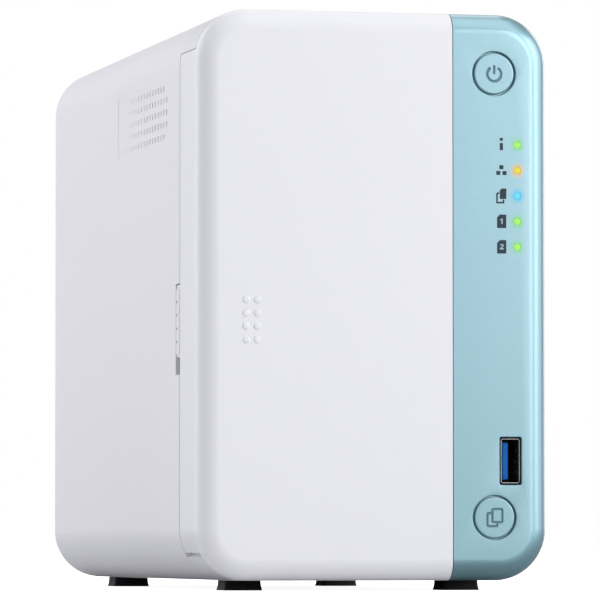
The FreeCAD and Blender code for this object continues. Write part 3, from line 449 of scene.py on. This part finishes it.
def wrapPiece():
    # a grid of outline points by depth Y; each of its cells is kept, sunk along the inward normal or left out
    hw, r, w = case["halfWidth"], case["corner"], case["wall"]
    zPocket = (vents["top"] - vents["tall"], vents["top"])
    rowMid = [vents["top"] - vents["firstDown"] - k * vents["rowPitch"] for k in range(vents["rows"])]
    zs = [case["bottom"] + r, lockSlot["low"], lockSlot["high"], case["top"] - r]
    half = [vents["slitZ"] / 2 * (0.55 + 0.45 * min(k / 6, 1)) for k in range(vents["slits"])]
    zs += [m + s * h for m in rowMid for s in (-1, 1) for h in half[:7]]
    zs += [zPocket[0] - vents["step"], zPocket[0], zPocket[1], zPocket[1] + vents["step"]]
    zs = np.unique(np.round(zs, 5))
    zs = zs[(zs >= case["bottom"] + r) & (zs <= case["top"] - r)]
    notchTop = 180 - math.degrees(math.asin((case["flangeHigh"] + case["highGap"] - (case["top"] - r)) / r))
    notchLow = 180 + math.degrees(math.asin((case["bottom"] + r - case["flangeLow"] + case["lowGap"]) / r))
    openAngle = math.degrees(math.acos(-2.0 / r))
    rebateTop, rebateLow = case["flangeHigh"] + rebate["clear"], case["flangeLow"] - rebate["clear"]
    stepTop = 180 - math.degrees(math.asin((rebateTop - (case["top"] - r)) / r))
    stepLow = 180 + math.degrees(math.asin((case["bottom"] + r - rebateLow) / r))
    left = np.stack([np.full(len(zs), -hw), zs, np.full(len(zs), -1.0), np.zeros(len(zs))], -1)
    right = left[::-1] * [-1, 1, -1, 1]
    run = np.vstack([cornerRun(-1, -1, 360 - openAngle, 180, [notchLow, stepLow])[:-1], left,
                     cornerRun(-1, 1, 180, 90, [notchTop, stepTop])[1:], cornerRun(1, 1, 90, 0)[:-1], right,
                     cornerRun(1, -1, 0, openAngle - 180)[1:]])
    slitMid = [vents["rear"] - vents["firstBack"] - k * vents["pitch"] for k in range(vents["slits"])]
    notchBack = case["flangeBack"] + case["sideGap"]
    ys = [case["caseFront"], case["flangeBack"] + rebate["clear"], notchBack, lockSlot["back"], case["rear"],
          vents["rear"], vents["rear"] + vents["step"], vents["rear"] - vents["reach"]]
    ys += [m + s * vents["slitY"] / 2 for m in slitMid for s in (-1, 1)]
    ys = np.unique(np.round(ys, 5))
    x0, z0 = run[:, 0][:, None], run[:, 1][:, None]
    onSide = np.abs(np.abs(x0) - hw) < 1e-3
    inZ = onSide & (z0 > zPocket[0] - 1e-4) & (z0 < zPocket[1] + 1e-4)
    share = 1 - (vents["rear"] - ys) / vents["reach"]
    depth = np.where(inZ & (share >= -1e-6) & (share <= 1 + 1e-6), vents["deep"] * share[None, :], 0.0)
    outer = np.stack([x0 - run[:, 2][:, None] * depth, np.broadcast_to(ys, depth.shape),
                      z0 - run[:, 3][:, None] * depth], -1)
    inner = np.stack([np.broadcast_to(x0 - run[:, 2][:, None] * w, depth.shape), np.broadcast_to(ys, depth.shape),
                      np.broadcast_to(z0 - run[:, 3][:, None] * w, depth.shape)], -1)
    # cell middles decide which cells are left out
    mx = (run[1:, 0] + run[:-1, 0])[:, None] / 2
    mz = (run[1:, 1] + run[:-1, 1])[:, None] / 2
    my = ((ys[1:] + ys[:-1]) / 2)[None, :]
    leftSide = mx < -hw + r
    gone = leftSide & (mz > rebateLow) & (mz < rebateTop) & (my < case["flangeBack"] + rebate["clear"])
    inLock = (mz > lockSlot["low"]) & (mz < lockSlot["high"]) & (my < lockSlot["back"]) & (mx < -hw + 1)
    gone = gone | leftSide & inLock
    # how far each cell is sunk: the step round the flange, and the slits, which fade towards the rear
    besideFlange = (mz > case["flangeLow"] - case["lowGap"]) & (mz < case["flangeHigh"] + case["highGap"])
    sunk = np.where(leftSide & besideFlange & (my < notchBack), rebate["deep"], 0.0)
    flank = np.abs(mx) > hw - 0.5
    for m in rowMid:
        for k, y in enumerate(slitMid[:-1] if m in (rowMid[0], rowMid[-1]) else slitMid):
            cut = flank & (np.abs(mz - m) < half[k]) & (np.abs(my - y) < vents["slitY"] / 2)
            sunk = np.where(cut, vents["slitDeep"] * min(vents["faint"] + k / vents["fade"], 1.0), sunk)
    keep = ~gone
    sunk = np.where(keep, sunk, 0.0)
    rows, cols = depth.shape
    index = np.arange(rows * cols).reshape(rows, cols)
    quads = np.stack([index[:-1, :-1], index[1:, :-1], index[1:, 1:], index[:-1, 1:]], -1)
    inward = np.broadcast_to(np.stack([-run[:, 2], np.zeros(len(run)), -run[:, 3]], -1)[:, None], outer.shape)
    # one corner set for each cell, so that a sunk cell leaves its neighbours where they are
    flatOut, flatDir, flatIn = outer.reshape(-1, 3), inward.reshape(-1, 3), inner.reshape(-1, 3)
    cellOut = flatOut[quads] + flatDir[quads] * sunk[..., None, None]
    cellIn = flatIn[quads][..., ::-1, :]
    sheets = [cellOut[keep].reshape(-1, 4, 3), cellIn[keep].reshape(-1, 4, 3)]
    for dr, dc, (a, b) in ((0, -1, (0, 1)), (0, 1, (2, 3)), (-1, 0, (3, 0)), (1, 0, (1, 2))):
        # each cell's side towards a neighbour that is sunk less, or is gone
        framed = np.pad(np.where(keep, sunk, np.nan), 1, constant_values=np.nan)
        other = framed[1 + dr:rows + dr, 1 + dc:cols + dc]
        wallHere = keep & (sunk > np.nan_to_num(other, nan=99.0) + 1e-9)
        low, high = cellOut[:, :, a], cellOut[:, :, b]
        upA = flatOut[quads[:, :, a]] + flatDir[quads[:, :, a]] * np.nan_to_num(other)[..., None]
        upB = flatOut[quads[:, :, b]] + flatDir[quads[:, :, b]] * np.nan_to_num(other)[..., None]
        sheets.append(np.stack([high, low, upA, upB], -2)[wallHere])
        inA, inB = flatIn[quads[:, :, a]], flatIn[quads[:, :, b]]
        sheets.append(np.stack([high, low, inA, inB], -2)[keep & np.isnan(other)])
    corners = np.vstack([q.reshape(-1, 3) for q in sheets])
    return [(corners, np.arange(len(corners)).reshape(-1, 4).tolist())]


def frontRing(mesh):
    # the front ring beside the cover's flange has the cover's finish
    x, y, z = faceMiddles(mesh)
    return y < case["flangeBack"] + case["sideGap"]


addPiece("caseWrap", wrapPiece(), "chassis", [material["caseWhite"], material["coverWhite"]],
         ("case_cover",), bevel=0.3, matIndex=frontRing)
print("case wrap made")

# control strip with its openings
panel = dict(buttonX=35.8, buttonZ=(151.2, 21.3), buttonR=6.1, gap=0.42, wellWall=1.9, wellDeep=3.2,
             usbX=40.65, usbZ=37.85, usbHalf=(3.25, 6.95), usbRound=0.5, lip=0.3)


def roundBox(cx, cz, a, b, r, n=6):
    # rounded rectangle: four quarter arcs about the corner centres
    return np.vstack([arc(cx + sx * (a - r), cz + sz * (b - r), r, s, s + 90, n)
                      for sx, sz, s in ((1, 1, 0), (-1, 1, 90), (-1, -1, 180), (1, -1, 270))])


def plate(border, holes, y):
    # flat face inside the border: a triangle is in a hole if a line from its middle crosses its edge an odd
    # number of times
    loops = [border] + holes
    pts = np.vstack(loops)
    edges, at = [], 0
    for loop in loops:
        n = len(loop)
        edges += [(at + k, at + (k + 1) % n) for k in range(n)]
        at += n
    v, _, tris, _, _, _ = delaunay_2d_cdt([Vector(p) for p in pts], edges, [], 1, 1e-7)
    v = np.array([tuple(p) for p in v])
    mids = np.array([v[list(t)].mean(0) for t in tris])
    inHole = np.zeros(len(tris), bool)
    for loop in holes:
        a, b = loop, np.roll(loop, -1, 0)
        crosses = ((a[None, :, 1] > mids[:, None, 1]) != (b[None, :, 1] > mids[:, None, 1]))
        dz = np.where(np.abs(b[:, 1] - a[:, 1]) < 1e-12, 1e-12, b[:, 1] - a[:, 1])
        xAt = a[None, :, 0] + (mids[:, None, 1] - a[None, :, 1]) * (b[:, 0] - a[:, 0]) / dz
        inHole |= (crosses & (mids[:, None, 0] < xAt)).sum(1) % 2 == 1
    keep = [list(t) for t, out in zip(tris, inHole) if not out]
    return np.stack([v[:, 0], np.full(len(v), float(y)), v[:, 1]], -1), keep


def holeWall(shape, y0, y1, lip):
    # opening's side: starts lip wider on the face, rounds in over the lip's depth, then runs straight back
    t = np.linspace(0, np.pi / 2, 4)
    rows = [(lip * (1 - np.sin(a)), y0 + lip * (1 - np.cos(a))) for a in t] + [(0, y1)]
    return tube([shape(g) for g, y in rows], [y for g, y in rows])


def stripBits():
    # the shell's section swept round the right corners, with a front plate and a well behind each button
    f, w, edge, rim, x = case["front"], case["wall"], case["stripEdge"], case["rimBack"], panel["buttonX"]
    run = np.vstack([[edge, case["bottom"], 0, -1], cornerRun(1, -1, -90, 0), cornerRun(1, 1, 0, 90),
                     [edge, case["top"], 0, 1]])
    outer, inner = outerSection(rim)
    bits = [gridBit(sweep(run, section)) for section in (outer, inner, [[0, rim], [w, rim]])]
    bore, (a, b) = panel["buttonR"] + panel["gap"], panel["usbHalf"]
    shapes = [lambda g, z=z: ring(x, z, bore + g, 72) for z in panel["buttonZ"]]
    shapes += [lambda g, z=z: ring(lights["x"], z, lights["radius"] - 0.02 + g * 0.2, 24) for z in lightZ]
    shapes.append(lambda g: roundBox(panel["usbX"], panel["usbZ"], a + g, b + g, panel["usbRound"] + g))
    border = sweep(run, outer[-1:])[:, 0][:, [0, 2]]
    borderIn = sweep(run, inner[:1])[:, 0][:, [0, 2]]
    bits.append(plate(border, [s(panel["lip"]) for s in shapes], f))
    bits.append(plate(borderIn, [s(0) for s in shapes], f + w))
    for shape in shapes:
        bits += holeWall(shape, f, f + w, panel["lip"])
    low, high = sweep(run[[0, -1]], outer)
    bits.append(ngon(np.vstack([low, high[::-1]])))
    wide, near, far = panel["buttonR"] + panel["wellWall"], f + w - 0.05, f + w + panel["wellDeep"]
    for z in panel["buttonZ"]:
        bits += tube([ring(x, z, r, 72) for r in (bore, bore, wide, wide)], (near, far, far, near))
    return bits


addPiece("controlStrip", stripBits(), "chassis", material["pearlStrip"], ("control_panel",),
         sharp=30)
print("control strip made")


# buttons: a disc whose height is a function of place, with the mark sunk in. A mark is the distance to its
# strokes less half their thickness. skirt gives the ring behind the rim, as reach past the rim and depth
button = dict(edgeRound=0.5, markDeep=0.26, markEdge=0.14, proud=-0.05, thick=4.0, stemRadius=2.4, stemBack=-104.2,
              skirt=((-0.1, 1.3), (0.34, 1.3), (0.34, 1.8), (-0.1, 1.8)), grid=170)
powerShape = dict(radius=2.1, gapHalf=0.72, lower=0.15, stroke=(0.2, 2.1), line=0.27)
pagesShape = dict(front=(0.75, 0.55), back=(-0.75, -0.65), half=(1.5, 1.9), round=0.35, clear=0.35, line=0.24)


def segment(x, z, ax, az, bx, bz):
    # distance to the straight line from a to b
    px, pz = x - ax, z - az
    dx, dz = bx - ax, bz - az
    t = np.clip((px * dx + pz * dz) / (dx * dx + dz * dz), 0, 1)
    return np.hypot(px - t * dx, pz - t * dz)


def powerMark(x, z):
    # open ring, with round ends where the angle from upright is gapHalf, and an upright stroke
    radius, gapHalf, low = powerShape["radius"], powerShape["gapHalf"], z + powerShape["lower"]
    endX, endZ = radius * math.sin(gapHalf), radius * math.cos(gapHalf)
    ends = np.hypot(np.abs(x) - endX, low - endZ)
    openRing = np.where(np.abs(np.arctan2(x, z)) < gapHalf, ends, np.abs(np.hypot(x, low) - radius))
    foot, tip = powerShape["stroke"]
    return np.minimum(openRing, segment(x, z, 0, foot, 0, tip)) - powerShape["line"]


def frameLine(x, z, cx, cz, a, b, r):
    # distance to the outline of a rounded rectangle of half sizes a and b, negative inside it
    qx, qz = np.abs(x - cx) - a + r, np.abs(z - cz) - b + r
    return np.hypot(np.maximum(qx, 0), np.maximum(qz, 0)) + np.minimum(np.maximum(qx, qz), 0) - r


def pagesMark(x, z):
    # two sheets one behind the other, the back one's outline kept clear of the front sheet
    shape = pagesShape
    front = frameLine(x, z, *shape["front"], *shape["half"], shape["round"])
    behind = np.abs(frameLine(x, z, *shape["back"], *shape["half"], shape["round"]))
    behind = np.where(front < shape["clear"], np.inf, behind)
    return np.minimum(np.abs(front), behind) - shape["line"]


def buttonBits(z0, mark):
    # depth at a place is the round edge's, e - e sqrt(1 - q^2) for q across the edge's width e, plus the groove's,
    # which is markDeep inside a stroke and falls as (1 - distance / markEdge)^1.5 beside it
    n, r, e, x0 = button["grid"], panel["buttonR"], button["edgeRound"], panel["buttonX"]
    f = case["front"] - button["proud"]
    u = np.linspace(-1, 1, n)
    a, b = np.meshgrid(u, u, indexing="ij")
    x = r * a * np.sqrt(1 - b * b / 2)                     # the square is carried on to a disc
    z = r * b * np.sqrt(1 - a * a / 2)
    q = np.clip((np.hypot(x, z) - r + e) / e, 0, 1)
    sink = e * (1 - np.sqrt(np.clip(1 - q ** 2, 0, 1)))
    groove = button["markDeep"] * (1 - np.clip(mark(x, z) / button["markEdge"], 0, 1)) ** 1.5
    face = np.stack([x0 + x, f + sink + groove, z0 + z], -1).reshape(-1, 3)
    index = np.arange(n * n).reshape(n, n)
    rim = face[np.concatenate([index[:, 0], index[-1, 1:], index[-2::-1, -1], index[0, -2:0:-1]])]
    back = rim * [1, 0, 1] + [0, f + button["thick"], 0]
    stemEnds = (f + button["thick"] - 0.1, button["stemBack"])
    stem = tube([ring(x0, z0, button["stemRadius"], 32)] * 2, stemEnds, True)
    reach, deep = zip(*button["skirt"])
    skirt = tube([ring(x0, z0, r + g, 96) for g in reach], [case["front"] + y for y in deep], closeRows=True)
    return [(face, gridFaces(n, n)), (np.vstack([rim, back]), gridFaces(2, len(rim), closeCols=True)), ngon(back),
            *skirt, stem[0], stem[2]]


def paintedGrooveShade(mesh):
    # painted shade: the floor of the sunk mark gets the darker teal, standing in for the shade in the groove
    x, y, z = faceMiddles(mesh)
    fromMiddle = np.min([np.abs(z - level) for level in panel["buttonZ"]], axis=0)
    deep = y - case["front"]
    return (deep > 0.13) & (deep < 0.6) & (np.hypot(x - panel["buttonX"], fromMiddle) < 4.5)


for word, z0, mark in (("power", panel["buttonZ"][0], powerMark), ("copy", panel["buttonZ"][1], pagesMark)):
    addPiece(word + "Button", buttonBits(z0, mark), word + "_button",
             [material["pearlButton"], material["pearlPaintedShade"]], (word + "_button",), sharp=60, matIndex=paintedGrooveShade)
print("buttons made")


# lenses: a profile of radius and depth turned about each light's axis
lensProfile = [(0.0, -0.08), (0.35, -0.075), (0.65, -0.06), (0.85, -0.03), (0.94, 0.01), (0.98, 0.08), (0.98, 10.7),
               (1.7, 10.8), (1.7, 11.8), (0.0, 11.8)]
lensNames = ("status", "lan", "copy", "drive_1", "drive_2")
for z, lensName, word in zip(lightZ, lensNames, lights["colors"]):
    bits = tube([ring(lights["x"], z, r, 32) for r, y in lensProfile],
                [case["front"] + y for r, y in lensProfile])
    addPiece("lens_" + lensName, bits, "chassis", material[word + "Lens"],
             ("light_pipe_" + lensName,), sharp=50)
print("lenses made")

# front USB socket: folded shell with a rolled mouth, and its tongue with contacts
usb = dict(half=(2.9, 6.55), sheet=0.32, mouth=0.45, back=-100.1, bottom=-101.1, round=0.6, springs=(-3.4, 0.0, 3.4),
           tongueX=(38.45, 40.25), tongueFront=1.4, tongueHalf=5.4, chamfer=0.35, contacts=9, contactPitch=1.15)


def shellBits():
    # rows of inset and depth Y: outside going forward, half round at the mouth, inside going back
    f, w, r = case["front"] + usb["mouth"], usb["sheet"], usb["round"]
    t = np.linspace(0, np.pi, 7)
    rows = [(0.0, usb["back"])] + [(w / 2 * (1 - np.cos(a)), f + w / 2 * (1 - np.sin(a))) for a in t]
    rows += [(w, f + 1.5), (w, usb["bottom"])]
    x, z, (a, b) = panel["usbX"], panel["usbZ"], usb["half"]
    bits = tube([roundBox(x, z, a - g, b - g, max(r - g, 0.15)) for g, y in rows], [y for g, y in rows], True)
    x += a - w                                             # springs stand on the wall away from the tongue
    for k in usb["springs"]:
        bits.append(block(x - 0.28, x + 0.05, f + 2.4, f + 5.0, z + k - 0.45, z + k + 0.45))
    return bits


def insidePaintedShade(mesh):
    # painted shade: everything behind the mouth and inside the walls gets a dark finish for the shade in the socket,
    # apart from the springs
    x, y, z = faceMiddles(mesh)
    a, b, w = *usb["half"], usb["sheet"]
    across, up = np.abs(x - panel["usbX"]), np.abs(z - panel["usbZ"])
    within = (across < a - w * 0.8) & (up < b - w * 0.8)
    spring = (across < a - w - 0.2) & (up < b - w * 0.8) & (y < -104)
    return np.where(spring, 0, (within | (y > case["front"] + 1.0)).astype(int))


def tongueBits():
    # an eight-sided bar that narrows at its tip, the block it stands on, and a row of contacts
    x0, x1 = usb["tongueX"]
    f, h, c = case["front"] + usb["tongueFront"], usb["tongueHalf"], usb["chamfer"]
    x, z = panel["usbX"], panel["usbZ"]
    side = np.array([(x0, -h + c), (x0 + c, -h), (x1 - c, -h), (x1, -h + c), (x1, h - c), (x1 - c, h), (x0 + c, h),
                     (x0, h - c)])
    middle = np.array([(x0 + x1) / 2, 0])
    loops = [middle + (side - middle) * g + [0, z] for g in (0.82, 1.0, 1.0)]
    bits = tube(loops, (f, f + 0.4, usb["bottom"] + 0.05), True)
    a, b = (half - usb["sheet"] - 0.1 for half in usb["half"])
    bits.append(block(x - a, x + a, usb["bottom"] - 1.3, usb["bottom"] + 0.05, z - b, z + b))
    for k in range(usb["contacts"]):
        at = z + (k - (usb["contacts"] - 1) / 2) * usb["contactPitch"]
        bits.append(block(x1 - 0.02, x1 + 0.06, f + 0.8, f + 6.5, at - 0.28, at + 0.28))
    return bits


def tongueFinish(mesh):
    # 1 is the dark block at the socket's end, 2 the gold contacts on the tongue's side
    x, y, z = faceMiddles(mesh)
    return np.where(y > usb["bottom"] - 1.4, 1, np.where(x > usb["tongueX"][1] + 0.01, 2, 0))


addPiece("usbShell", shellBits(), "chassis", [material["plated"], material["socketPaintedShade"]],
         ("usb_front_shell",), sharp=50, matIndex=insidePaintedShade)
addPiece("usbTongue", tongueBits(), "chassis",
         [material["blueTongue"], material["moulded"], material["contactGold"]], ("usb_front_tongue",), sharp=40, matIndex=tongueFinish, weld=False)
print("front socket made")

# marks printed on the strip
marks = dict(
    x=38.0, proud=0.03, sunk=0.1, node=(0.62, 0.6, 0.2), nodes=((0, 0.9), (-0.95, -0.8), (0.95, -0.8)),
    lowSheet=((-1.6, -2.25), (0.88, -2.25), (0.88, -1.08), (0.4, -1.08), (0.4, -1.77), (-1.1, -1.77), (-1.1, 0.36),
              (-0.95, 0.5), (-0.66, 0.5), (-0.66, 1.0), (-1.18, 1.0), (-1.6, 0.58)),
    digits=(((-0.02, -0.8), (0.36, -0.8), (0.36, 0.8), (0.04, 0.8), (-0.34, 0.5), (-0.34, 0.2), (-0.02, 0.36)),
            ((-0.48, -0.78), (0.66, -0.78), (0.66, -0.44), (-0.02, -0.44), (0.66, 0.18), (0.66, 0.52), (0.36, 0.82),
             (-0.2, 0.82), (-0.48, 0.55), (-0.24, 0.34), (-0.06, 0.52), (0.2, 0.52), (0.3, 0.4), (0.3, 0.26),
             (-0.48, -0.42))))


def prismBits(border, holes=()):
    # a flat shape just proud of the strip's face, with walls that go back into it
    f, b = case["front"] - marks["proud"], case["front"] + marks["sunk"]
    bits = [plate(border, list(holes), f)]
    for loop in [border, *holes]:
        bits += tube([loop, loop], (f, b))
    return bits


def dogEar(x0, x1, z0, z1, c):
    # rectangle with its upper left corner cut off by c
    return np.array([(x0, z0), (x1, z0), (x1, z1), (x0 + c, z1), (x0, z1 - c)], float)


def markBits():
    # beside the lights from the top down: an i, three joined nodes, two sheets, and a numbered drive twice
    x = marks["x"]
    info, net, sheets, *drives = lightZ
    bits = prismBits(roundBox(x, info + 1.6, 0.5, 0.42, 0.14)) + prismBits(roundBox(x, info - 0.55, 0.5, 1.05, 0.1))
    for cx, cz in marks["nodes"]:
        bits += prismBits(roundBox(x + cx, net + cz, *marks["node"]))
    bits += prismBits(dogEar(x - 0.5, x + 1.5, sheets - 0.92, sheets + 2.15, 0.6))
    bits += prismBits(np.array(marks["lowSheet"]) + [x, sheets])
    for z, digit in zip(drives, marks["digits"]):
        bits += prismBits(dogEar(x - 1.33, x + 1.45, z - 1.98, z + 1.98, 0.85), [np.array(digit) + [x, z]])
    return bits


addPiece("stripMarks", markBits(), "chassis", material["darkPrint"], ("panel_marks",), sharp=30)
print("marks made")


# feet: rounded squares stacked from the ground to the case
foot = dict(half=5.8, upper=5.4, round=0.9, places={"front_left": (-33, -79), "front_right": (33, -79),
                                                    "rear_left": (-34.5, 80), "rear_right": (34.5, 80)})


def footBits(cx, cy):
    # rows of half size and height
    rows = [(foot["half"] - 0.2, 0.0), (foot["half"] - 0.03, 0.06), (foot["half"], 0.2), (foot["half"] - 0.2, 0.9),
            (foot["upper"] + 0.08, 1.8), (foot["upper"], case["bottom"])]
    bits = tube([roundBox(cx, cy, h, h, foot["round"]) for h, z in rows], [z for h, z in rows], True)
    return [(points[:, [0, 2, 1]], faces) for points, faces in bits]


for word, (cx, cy) in foot["places"].items():
    addPiece("foot_" + word + "_pad", footBits(cx, cy), "chassis", material["footRubber"],
             ("foot_" + word,), sharp=50)
print("feet made")

# CAD nodes that stay, each with its finish
kept = {
    "zincSheet": ["bottom_panel", "drive_cage"],
    "bezelGrey": ["front_bezel", "lever_1", "lever_2"],
    "trayBlack": ["tray_frame_1", "tray_frame_2", "tray_guides"],
    "plated": ["usb_rear_shells", "hdmi_port", "lan_jack", "case_screws", "fan_screws",
               "board_screws", "drive_screws_1", "drive_screws_2", "lever_pin_1", "lever_pin_2", "coin_cell"],
    "blueTongue": ["usb_rear_tongues"],
    "boardGreen": ["front_board", "mainboard", "backplane", "memory_module", "drive_board_1", "drive_board_2"],
    "moulded": ["tact_switches", "dc_jack", "fan_frame", "fan_rotor", "drive_sockets", "memory_socket", "cell_holder",
                "reset_button"],
    "caseWhite": ["cover_lock"],
    "clearLens": ["board_lights"],
    "rearSheet": ["rear_panel"],
    "castAlloy": ["drive_body_1", "drive_body_2"],
    "bareAlloy": ["heatsink", "drive_lid_1", "drive_lid_2"],
}
for word, members in kept.items():
    for name in members:
        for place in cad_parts[name].material_slots:
            place.material = material[word]
print("kept nodes finished,", sum(len(v) for v in kept.values()))

# floor: white paper to the camera, a darker diffuse grey in the object's reflections
stage = dict(size=30.0, color=(0.74, 0.74, 0.75), rough=0.85, paper=0.93, mirrored=(0.27, 0.28, 0.29))
bpy.ops.mesh.primitive_grid_add(size=stage["size"], x_subdivisions=4, y_subdivisions=4, location=(0, 0, 0))
floor = bpy.context.object
floor.name = "floor"
floorMat, tree, shader, coords = newMaterial("paleFloor")
shader.inputs["Base Color"].default_value = (*stage["color"], 1)
shader.inputs["Roughness"].default_value = stage["rough"]
grainBump(tree, shader, coords, 300, 0.02)
paper = node(tree, "ShaderNodeEmission", 0, -300, Color=(1, 1, 1, 1), Strength=stage["paper"])
lifted = node(tree, "ShaderNodeAddShader", 300, -100)
shade = node(tree, "ShaderNodeBsdfDiffuse", 100, 150, Color=(*stage["mirrored"], 1))
mirrored = node(tree, "ShaderNodeMixShader", 300, 150)
swap = node(tree, "ShaderNodeMixShader", 500, 0)
ray = node(tree, "ShaderNodeLightPath", 0, 500)
tree.links.new(shader.outputs["BSDF"], lifted.inputs[0])
tree.links.new(paper.outputs["Emission"], lifted.inputs[1])
tree.links.new(ray.outputs["Is Glossy Ray"], mirrored.inputs["Fac"])
tree.links.new(shader.outputs["BSDF"], mirrored.inputs[1])
tree.links.new(shade.outputs["BSDF"], mirrored.inputs[2])
tree.links.new(ray.outputs["Is Camera Ray"], swap.inputs["Fac"])
tree.links.new(mirrored.outputs["Shader"], swap.inputs[1])
tree.links.new(lifted.outputs["Shader"], swap.inputs[2])
tree.links.new(swap.outputs["Shader"], tree.nodes["Material Output"].inputs["Surface"])
floor.data.materials.append(floorMat)

# the room: white to the camera, and a weak cool light on the object
room = dict(seen=(1, 1, 1), light=(0.93, 0.96, 1.0), strength=0.375)
world = bpy.data.worlds.new("studio")
bpy.context.scene.world = world
world.use_nodes = True
tree = world.node_tree
tree.nodes.clear()
out = node(tree, "ShaderNodeOutputWorld", 600, 0)
seen = node(tree, "ShaderNodeBackground", 200, 150, Color=(*room["seen"], 1), Strength=1.0)
lit = node(tree, "ShaderNodeBackground", 200, -50, Color=(*room["light"], 1), Strength=room["strength"])
pick = node(tree, "ShaderNodeMixShader", 400, 0)
ray = node(tree, "ShaderNodeLightPath", 0, 300)
tree.links.new(ray.outputs["Is Camera Ray"], pick.inputs["Fac"])
tree.links.new(lit.outputs["Background"], pick.inputs[1])
tree.links.new(seen.outputs["Background"], pick.inputs[2])
tree.links.new(pick.outputs["Shader"], out.inputs["Surface"])

# lamps: degrees round from the front to the right, degrees up, distance, width and height in metres, watts
lamps = dict(
    leftRear=(-150, 14, 2.0, 0.9, 1.6, 6.5),
    leftSide=(-122, 14, 2.0, 0.9, 1.6, 12.6),
    leftFlat=(-95, 14, 2.0, 0.7, 1.2, 1.8),
    keyFront=(26, 12, 2.0, 0.7, 1.2, 9.6),
    keyRight=(57, 8, 2.0, 0.8, 2.0, 17.5),
    keyEdge=(84, 8, 2.0, 0.9, 2.2, 8.0),
    above=(5, 68, 1.9, 2.4, 2.1, 18.5),
    rightRear=(135, 12, 2.0, 0.7, 1.2, 4.0),
    rearHigh=(180, 55, 2.0, 1.4, 1.2, 6.0),
)
middle = Vector((0, 0, 0.085))
for word, (turned, raised, away, wide, tall, power) in lamps.items():
    turned, raised = math.radians(turned), math.radians(raised)
    side = Vector((math.sin(turned) * math.cos(raised), -math.cos(turned) * math.cos(raised), math.sin(raised)))
    data = bpy.data.lights.new(word, "AREA")
    data.shape = "RECTANGLE"
    data.size, data.size_y = wide, tall
    data.energy = power
    lamp = bpy.data.objects.new(word, data)
    lamp.location = middle + side * away
    lamp.rotation_mode = "QUATERNION"
    lamp.rotation_quaternion = (-side).to_track_quat("-Z", "Y")
    bpy.context.scene.collection.objects.link(lamp)

# camera: where it stands, degrees it turns to the right and tilts up, and its lens on a 36 mm sensor
view = dict(at=(-0.37853, -1.63967, 0.013855), turn=13.1265, tilt=2.5726, lens=324.86, sensor=36.0)
turn, tilt = math.radians(view["turn"]), math.radians(view["tilt"])
ahead = Vector((math.sin(turn) * math.cos(tilt), math.cos(turn) * math.cos(tilt), math.sin(tilt)))
across = Vector((math.cos(turn), -math.sin(turn), 0))
up = across.cross(ahead)
cameraData = bpy.data.cameras.new("camera")
cameraData.lens = view["lens"]
cameraData.sensor_width = view["sensor"]
cameraData.clip_start = 0.01
cameraData.clip_end = 60.0
camera = bpy.data.objects.new("camera", cameraData)
camera.matrix_world = Matrix(((across.x, up.x, -ahead.x, view["at"][0]), (across.y, up.y, -ahead.y, view["at"][1]),
                              (across.z, up.z, -ahead.z, view["at"][2]), (0, 0, 0, 1)))
bpy.context.scene.collection.objects.link(camera)
bpy.context.scene.camera = camera
bpy.context.scene.view_settings.view_transform = "Standard"
print("floor, lights and camera placed")
